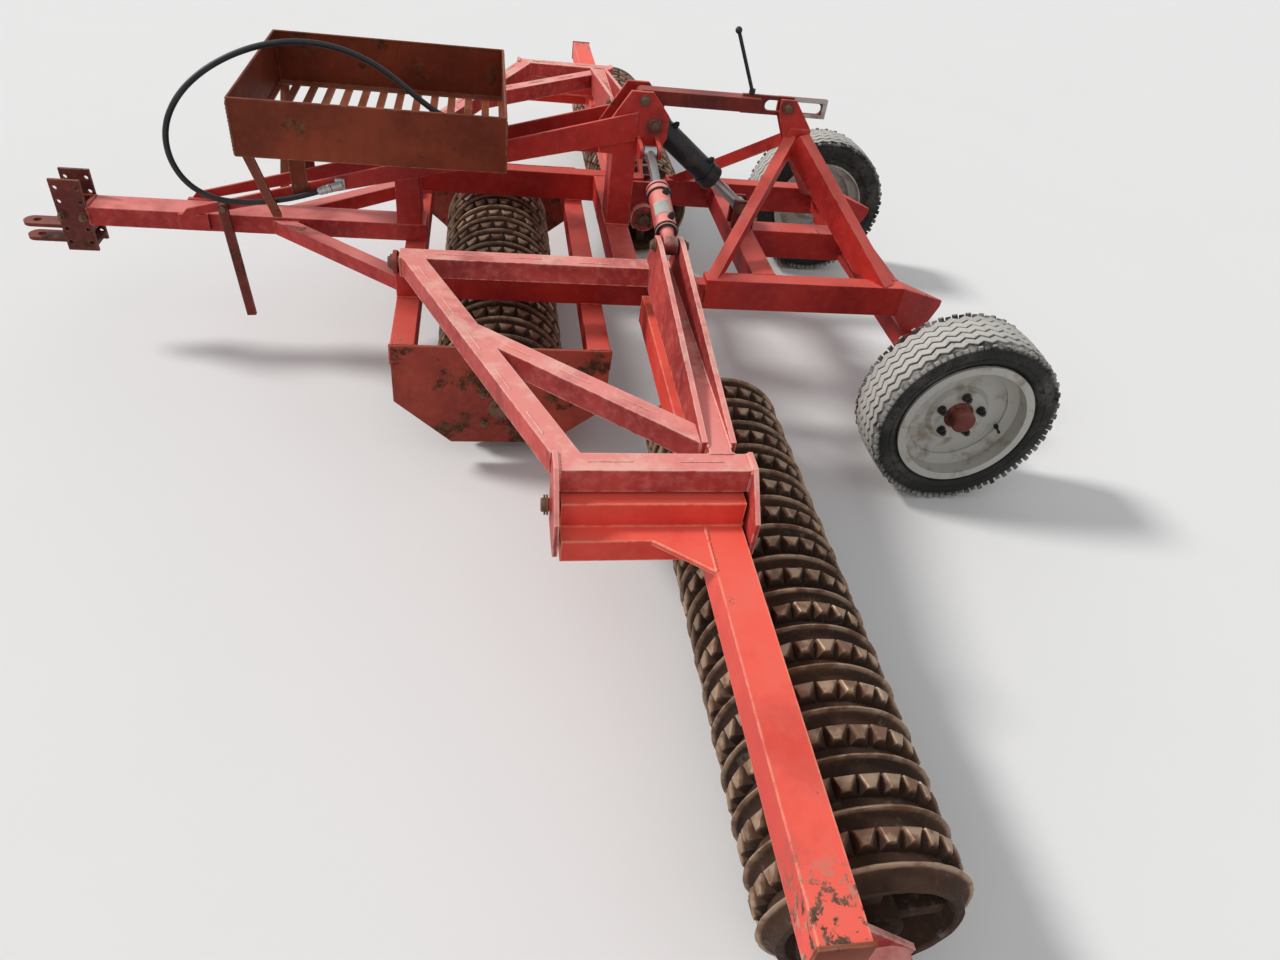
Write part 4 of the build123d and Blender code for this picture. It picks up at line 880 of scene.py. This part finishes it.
def bearingBolts():
    look = fastenerLook
    bm = bmesh.new()
    axle = nodeBox("roller_centre")[2]
    for side in (-1, 1):
        face, outward = Vector((axle.x, side * 0.720, axle.z)), Vector((0, side, 0))
        for spot in around(face, look["centreCircle"], 4, 45):
            boltSet(bm, spot, outward, look["bearingNut"])
        disc(bm, face + outward * 0.0015, outward, 0.040, 0.005, 36, 0.0015)
        hexHead(bm, face + outward * 0.013, outward, 0.038, 0.018)
    finishPiece(bm, "centreBearingBolts", "rustySteel", "frame")
    for name, side in sides:
        bm = bmesh.new()
        low, high, middle = nodeBox("gang_brackets_" + name)
        axle = nodeBox("roller_" + name)[2]
        for y, way in ((low.y, -1), (high.y, 1)):
            face, outward = Vector((axle.x, y, axle.z)), Vector((0, way, 0))
            hexHead(bm, face + outward * 0.009, outward, 0.040, 0.018)
            disc(bm, face + outward * 0.0012, outward, 0.034, 0.0026, 32)
            for spot in around(face, look["gangCircle"], 4, 45):
                boltSet(bm, spot, outward, look["gangNut"], 0.003)
        finishPiece(bm, "gangBearingBolts" + name.capitalize(), "rustySteel", "gang_" + name)


def pinHeads():
    # a washer, a boss and a split pin on each end of the larger pins
    heads = {}
    for name, side in sides:
        for group, pins in pinLook.items():
            body = group + name if group.endswith("_") else group
            placedPins = [(mirrored(place, side), mirrored(axis, side), radius) for place, axis, radius in pins]
            heads.setdefault(body, []).extend(placedPins)
    for body, pins in heads.items():
        bm = bmesh.new()
        for place, axis, radius in pins:
            disc(bm, place + axis * 0.0018, axis, radius, 0.0034, 26, 0.0010)
            disc(bm, place + axis * 0.0085, axis, radius * 0.68, 0.0140, 22, 0.002)
            disc(bm, place + axis * 0.0075, axis.orthogonal().normalized(), 0.0022, radius * 1.9, 8)
        ending = "".join(word.capitalize() for word in body.split("_"))
        finishPiece(bm, "pinHeads" + ending, "rustySteel", body)


endCaps()
hitchBolts()
bearingBolts()
pinHeads()
print("fasteners made")

# Weld beads along the joints of the tubes and plates; runs are given for the far side

weldLook = {
    "radius": 0.0046, "ripple": 0.0055, "stitchPitch": 0.17, "stitchRadius": 0.0024,
    "frame": [
        ((0.255, 0.380, 0.430), (0.255, 0.380, 0.520)), ((0.255, 0.380, 0.520), (0.335, 0.380, 0.520)),
        ((-0.414, 0.384, 0.5205), (-0.414, 0.438, 0.5205)), ((-0.402, 0.384, 0.5205), (-0.402, 0.438, 0.5205)),
        ((0.436, 0.384, 0.5205), (0.436, 0.438, 0.5205)), ((0.448, 0.384, 0.5205), (0.448, 0.438, 0.5205)),
        ((-1.405, 0.0505, 0.418), (-1.405, 0.0505, 0.476)), ((-1.493, 0.040, 0.4785), (-1.405, 0.040, 0.4785)),
        ((-1.120, 0.060, 0.478), (-1.045, 0.060, 0.478)),
    ],
    "wing": [
        ((0.339, 0.520, 0.6185), (0.339, 1.430, 0.6185), 0.0038),
        ((0.391, 0.520, 0.6185), (0.391, 1.430, 0.6185), 0.0038),
        ((0.335, 0.576, 0.6180), (0.335, 0.576, 0.560)), ((0.335, 1.450, 0.6180), (0.335, 1.450, 0.560)),
        ((0.395, 0.576, 0.6180), (0.395, 0.576, 0.560)), ((0.395, 1.450, 0.6180), (0.395, 1.450, 0.560)),
        ((0.336, 1.450, 0.6185), (0.394, 1.450, 0.6185)),
    ],
    "wingStitches": [
        ((-0.355, 0.585, 0.6182), (-0.010, 1.430, 0.6182)), ((0.070, 0.560, 0.6182), (0.250, 0.560, 0.6182)),
        ((0.010, 1.480, 0.6182), (0.415, 1.480, 0.6182)), ((-0.340, 0.546, 0.6182), (0.060, 0.546, 0.6182)),
        ((-0.150, 0.985, 0.6182), (0.270, 1.330, 0.6182)),
    ],
    "gang": [
        ((0.006, 1.470, 0.4845), (0.418, 1.470, 0.4845), 0.004), ((0.418, 1.470, 0.4845), (0.418, 1.540, 0.4845)),
        ((0.330, 1.683, 0.4845), (0.206, 1.588, 0.4845), 0.0034), ((0.330, 1.588, 0.4845), (0.330, 1.528, 0.4845)),
        ((0.330, 1.683, 0.4845), (0.330, 1.588, 0.4845), 0.0036),
        ((0.340, 0.768, 0.3955), (0.416, 0.768, 0.3955)), ((0.340, 2.366, 0.3955), (0.416, 2.366, 0.3955)),
    ],
}
weldDice = random.Random(5)


def weldBead(bm, start, end, radius=weldLook["radius"]):
    # a half-round run with ripples between two points
    start, end = Vector(start), Vector(end)
    along = end - start
    count = max(3, int(along.length / weldLook["ripple"]))
    bead = bmesh.new()
    ring = bmesh.ops.create_circle(bead, segments=6, radius=radius, matrix=turned(start, along))["verts"]
    made = bmesh.ops.spin(
        bead, geom=ring + list(bead.edges), cent=start, axis=along, dvec=along / count, angle=0.0, steps=count,
    )
    sizes = [weldDice.uniform(0.92, 1.1) * (1.16 if place % 2 else 0.84) for place in range(count + 1)]
    sizes[0] = sizes[-1] = 0.55
    for vert in bead.verts:
        reach = (vert.co - start).dot(along) / along.length_squared
        middle = start + along * reach
        vert.co = middle + (vert.co - middle) * sizes[round(reach * count)]
    bmesh.ops.contextual_create(bead, geom=ring)
    last = [item for item in made["geom_last"] if isinstance(item, bmesh.types.BMVert)]
    bmesh.ops.contextual_create(bead, geom=last)
    addShape(bm, bead)


def weldRuns(bm, runs, side):
    for start, end, *radius in runs:
        weldBead(bm, mirrored(start, side), mirrored(end, side), *radius)


def weldStitches(bm, start, end):
    # short runs of bead with gaps, along a tube
    count = max(1, round((end - start).length / weldLook["stitchPitch"]))
    along = (end - start) / count
    for stitch in range(count):
        first = start + along * (stitch + 0.25)
        weldBead(bm, first, first + along * 0.5, weldLook["stitchRadius"])


def weldAround(bm, axis, level, a0, a1, b0, b1):
    # a rectangle square to the axis; a and b are the other two axes in their order
    corners = [(a0, b0), (a1, b0), (a1, b1), (a0, b1)]
    at = "xyz".index(axis)
    points = [(*corner[:at], level, *corner[at:]) for corner in corners]
    for start, end in zip(points, points[1:] + points[:1]):
        weldBead(bm, start, end)


def frameWelds():
    bm = bmesh.new()
    for name, side in sides:
        # side beams on the cross tubes, the tubes on the side plates, then tower, lugs, hitch and braces
        for x in (-0.424, 0.145):
            weldRuns(bm, [((x, edge, 0.416), (x + 0.070, edge, 0.416)) for edge in (0.380, 0.440)], side)
            weldAround(bm, "y", side * 0.710, x, x + 0.070, 0.346, 0.4155)
        weldRuns(bm, weldLook["frame"], side)
    weldAround(bm, "z", 0.5205, 0.255, 0.335, -0.060, 0.060)
    weldAround(bm, "z", 0.4785, -0.447, -0.367, -0.060, 0.060)
    weldBead(bm, (-1.405, -0.048, 0.4785), (-1.405, 0.048, 0.4785))
    finishPiece(bm, "frameWelds", "framePaint", "frame")


def wingWelds():
    for name, side in sides:
        bm = bmesh.new()
        for x in (0.0, 0.424):
            weldAround(bm, "x", x, side * 1.450, side * 1.510, 0.558, 0.618)
        weldRuns(bm, weldLook["wing"], side)
        for start, end in weldLook["wingStitches"]:
            weldStitches(bm, mirrored(start, side), mirrored(end, side))
        finishPiece(bm, "wingWelds" + name.capitalize(), "wingPaint", "wing_" + name)
        bm = bmesh.new()
        weldRuns(bm, weldLook["gang"], side)
        finishPiece(bm, "gangWelds" + name.capitalize(), "gangPaint", "gang_" + name)


def wheelFrameWelds():
    bm = bmesh.new()
    for side in (-1, 1):
        for x in (0.710, 1.143):
            weldAround(bm, "y", side * 0.380, x, x + 0.080, 0.440, 0.519)
        weldRuns(bm, [((1.143, 0.385, 0.5205), (1.208, 0.385, 0.5205))], side)
    for x in (0.790, 1.143):
        weldAround(bm, "x", x, -0.040, 0.040, 0.440, 0.519)
    finishPiece(bm, "wheelFrameWelds", "framePaint", "wheel_frame")


frameWelds()
wingWelds()
wheelFrameWelds()
print("welds laid")

# Cylinders: glands, ports, hose unions and the blank plate on each wing cylinder

cylinderLook = {
    "lift": {"base": (0.385, 0.0, 0.866), "tip": (0.735, 0.0, 0.592),
             "length": 0.300, "radius": 0.040, "rod": 0.019, "foot": 0.040},
    "wing": {"base": (0.365, 0.620, 0.715), "tip": (0.365, 0.140, 0.806),
             "length": 0.275, "radius": 0.033, "rod": 0.015, "foot": 0.066},
    "portLean": 0.35,
    "plate": {"start": 0.42, "end": 0.64, "turn": -58, "sweep": 84, "under": 0.0001, "over": 0.0012},
}


def cylinderAxes(look, side):
    base, tip = mirrored(look["base"], side), mirrored(look["tip"], side)
    along = (tip - base).normalized()
    return base, along, (Vector((0, 0, 1)) - along * along.z).normalized()


def cylinderPieces(kind, side, body, name):
    look = cylinderLook[kind]
    base, along, up = cylinderAxes(look, side)
    radius, length, rod, foot = (look[key] for key in ("radius", "length", "rod", "foot"))
    bm = bmesh.new()
    # gland nut with its groove, two bands, and the welded ring at the closed end
    profiles = [[(rod + 0.0012, length - 0.004), (rod + 0.0012, length + 0.0035), (rod + 0.005, length + 0.0065),
                 (radius - 0.006, length + 0.0065), (radius + 0.0015, length + 0.003),
                 (radius + 0.0015, length - 0.002), (radius - 0.004, length - 0.004)]]
    for band in (length - 0.0375, length - 0.012):
        profiles.append([(radius + 0.0018, band - 0.0035), (radius + 0.0058, band - 0.0022),
                         (radius + 0.0058, band + 0.0022), (radius + 0.0018, band + 0.0035)])
    profiles.append([(radius - 0.010, foot - 0.006), (radius - 0.002, foot - 0.0045),
                     (radius + 0.0028, foot + 0.001), (radius + 0.0022, foot + 0.006),
                     (radius - 0.002, foot + 0.009)])
    for profile in profiles:
        spun(bm, profile, base, along, 40)
    finishPiece(bm, name + "Collars", "blackPaint", body)
    bm = bmesh.new()
    out = (up + along.cross(up) * cylinderLook["portLean"]).normalized()
    for place in (foot + 0.028, length - 0.058):
        seat = base + along * place + out * (radius - 0.001)
        disc(bm, seat + out * 0.003, out, 0.0105, 0.010, 20, 0.002)
        hexHead(bm, seat + out * 0.0110, out, 0.0150, 0.008)
        disc(bm, seat + out * 0.0165, out, 0.0048, 0.005, 14, 0.001)
    finishPiece(bm, name + "Ports", "blackPaint", body)


def blankPlate(side, body, name):
    # a blank pale plate wrapped round part of the barrel
    look, plate = cylinderLook["wing"], cylinderLook["plate"]
    base, along, up = cylinderAxes(look, side)
    turn = math.radians(plate["turn"])
    out = up * math.cos(turn) + along.cross(up) * math.sin(turn)
    low, high = look["length"] * plate["start"], look["length"] * plate["end"]
    bm = bmesh.new()
    ring, edges = closedLoop(bm, [
        base + along * place + out * (look["radius"] + plate[face])
        for place, face in ((low, "under"), (low, "over"), (high, "over"), (high, "under"))
    ])
    sweep = math.radians(plate["sweep"])
    made = bmesh.ops.spin(bm, geom=ring + edges, cent=base, axis=along, angle=sweep, steps=14)
    bmesh.ops.contextual_create(bm, geom=edges)
    last = [item for item in made["geom_last"] if isinstance(item, bmesh.types.BMEdge)]
    bmesh.ops.contextual_create(bm, geom=last)
    finishPiece(bm, name, "rimPaint", body)


cylinderPieces("lift", 1, "lift_barrel", "liftCylinder")
for name, side in sides:
    cylinderPieces("wing", side, "wing_barrel_" + name, "wingCylinder" + name.capitalize())
    blankPlate(side, "wing_barrel_" + name, "blankPlate" + name.capitalize())
print("cylinders finished")

# Worn grey end of the stay

stayLook = {
    "start": 0.852, "end": 0.969, "slotEnd": 0.9535, "low": 0.9095, "high": 0.9705, "slotHalf": 0.0178,
    "middle": 0.940, "face": 0.0052, "thickness": 0.0016, "rivets": (0.949, 0.958), "rivetZ": 0.962,
}


def stayEnd():
    look = stayLook
    start, end, slotLow, slotHigh = (
        look["start"], look["end"], look["middle"] - look["slotHalf"], look["middle"] + look["slotHalf"]
    )
    bm = bmesh.new()
    for side in (-1, 1):
        y = side * (look["face"] + look["thickness"] / 2)
        for x0, x1, z0, z1 in (
            (start, end, look["low"], slotLow), (start, end, slotHigh, look["high"]),
            (look["slotEnd"], end, slotLow, slotHigh),
        ):
            size = (x1 - x0, look["thickness"], z1 - z0)
            roundedBox(bm, ((x0 + x1) / 2, y, (z0 + z1) / 2), size, 0.0005)
        for x in look["rivets"]:
            disc(bm, (x, side * (look["face"] + 0.0022), look["rivetZ"]), (0, side, 0), 0.0036, 0.003, 12, 0.0008)
    finishPiece(bm, "stayEndPlate", "galvanised", "stay")


stayEnd()

# Hose rubber, and the crimped sleeve at each end of the hose


def hoseRubber():
    material, tree, shader = newMaterial("hoseRubber")
    where = placed(tree)
    fine = noise(tree, where, 90.0, 5.0, 0.6)
    grime = times(tree, step(tree, noise(tree, where, 11.0, 6.0, 0.65), 0.48, 0.78), 0.32)
    feed(tree, shader, {
        "Base Color": blendColour(tree, grime, hoseLook["black"], hoseLook["grime"]),
        "Specular IOR Level": 0.28, "Roughness": ranged(tree, grime, 0.42, 0.85),
        "Normal": bump(tree, fine, 0.3, 0.0006),
    })
    return material


def dressHose():
    hose.data.materials.append(hoseRubber())
    route = [Vector(spot) for spot in hoseLook["route"]]
    sleeve, radius = hoseLook["sleeve"], hoseLook["diameter"] / 2
    # how far it stands off the hose, and how far along
    steps = [(0.0006, 0.002), (0.0046, 0.002), (0.0050, 0.004), (0.0050, 0.012), (0.0036, 0.014), (0.0036, 0.017),
             (0.0046, 0.019), (0.0044, 0.026), (0.0032, 0.028), (0.0032, 0.031), (0.0038, 0.033),
             (0.0030, sleeve - 0.004), (0.0012, sleeve), (0.0004, sleeve)]
    profile = [(radius + rise, height) for rise, height in steps]
    bm = bmesh.new()
    for start, along in ((route[0], route[1] - route[0]), (route[-1], route[-2] - route[-1])):
        spun(bm, profile, start, along, 28)
    sleeves = finishPiece(bm, "hoseSleeves", "platedSteel", "frame")


dressHose()

# Stone box: rolled lip, corner seams and the bolts of its legs

boxLook = {
    "front": -0.846, "rear": -0.095, "half": 0.348, "low": 0.788, "high": 0.945, "lip": 0.0042, "inset": 0.0025,
    "seam": 0.0034, "legBolts": (-0.752, -0.728),
}


def boxTrim():
    look = boxLook
    front, rear, half, inset = (look[key] for key in ("front", "rear", "half", "inset"))
    corners = [(front, -half), (rear, -half), (rear, half), (front, half)]
    rim = [(front + inset, inset - half), (rear - inset, inset - half), (rear - inset, half - inset),
           (front + inset, half - inset)]
    rim = [Vector((x, y, look["high"])) for x, y in rim]
    bm = bmesh.new()
    for start, end in zip(rim, rim[1:] + rim[:1]):
        disc(bm, (start + end) / 2, end - start, look["lip"], (end - start).length + look["lip"], 12, 0.001)
    for x, y in corners:
        weldBead(bm, (x, y, look["low"] + 0.002), (x, y, look["high"] - 0.004), look["seam"])
    finishPiece(bm, "boxLip", "rustySheet", "frame")
    bm = bmesh.new()
    for side in (-1, 1):
        for x in look["legBolts"]:
            boltSet(bm, (x, side * 0.068, 0.600), (0, side, 0), 0.013, 0.004)
    finishPiece(bm, "boxLegBolts", "rustySteel", "frame")


boxTrim()
print("box and stay finished")

# Floor, world and lamps

studio = {
    "floorColour": (0.80, 0.79, 0.77),
    "worldStrength": 0.50, "backdropStrength": 0.82, "worldColour": (0.94, 0.96, 1.0),
    "sun": {"from": (-1.10, 0.35, 1.0), "strength": 2.25, "angle": 11.0},
    "fill": {"from": (-0.35, -1.0, 0.85), "strength": 0.34, "angle": 70.0},
}


def makeFloor():
    bm = bmesh.new()
    bmesh.ops.create_grid(bm, x_segments=1, y_segments=1, size=40.0)
    mesh = bpy.data.meshes.new("floor")
    bm.to_mesh(mesh)
    bm.free()
    floor = bpy.data.objects.new("floor", mesh)
    bpy.context.collection.objects.link(floor)
    material, tree, shader = newMaterial("floorPaper")
    pale = studio["floorColour"]
    grain = noise(tree, placed(tree), 1.5, 3.0)
    tone = blendColour(tree, grain, pale, tuple(value * 0.97 for value in pale))
    feed(tree, shader, {"Base Color": tone, "Roughness": 0.9})
    mesh.materials.append(material)


def makeWorld():
    world = bpy.data.worlds.new("studioWorld")
    world.use_nodes = True
    tree = world.node_tree
    rays = addNode(tree, "ShaderNodeLightPath").outputs
    seen = most(tree, rays["Is Camera Ray"], most(tree, rays["Is Glossy Ray"], rays["Is Transmission Ray"]))
    feed(tree, tree.nodes["Background"], {
        "Color": rgba(studio["worldColour"]),
        "Strength": ranged(tree, seen, studio["worldStrength"], studio["backdropStrength"]),
    })
    bpy.context.scene.world = world


def makeLamp(name):
    look = studio[name]
    light = bpy.data.lights.new(name + "Lamp", "SUN")
    light.energy = look["strength"]
    light.angle = math.radians(look["angle"])
    holder = bpy.data.objects.new(light.name, light)
    spot = Vector(look["from"]) * 4
    holder.matrix_world = Matrix.Translation(spot) @ (-spot).to_track_quat("-Z", "Y").to_matrix().to_4x4()
    bpy.context.collection.objects.link(holder)


makeFloor()
makeWorld()
makeLamp("sun")
makeLamp("fill")
bpy.context.scene.view_settings.view_transform = "Standard"
print("studio lit")
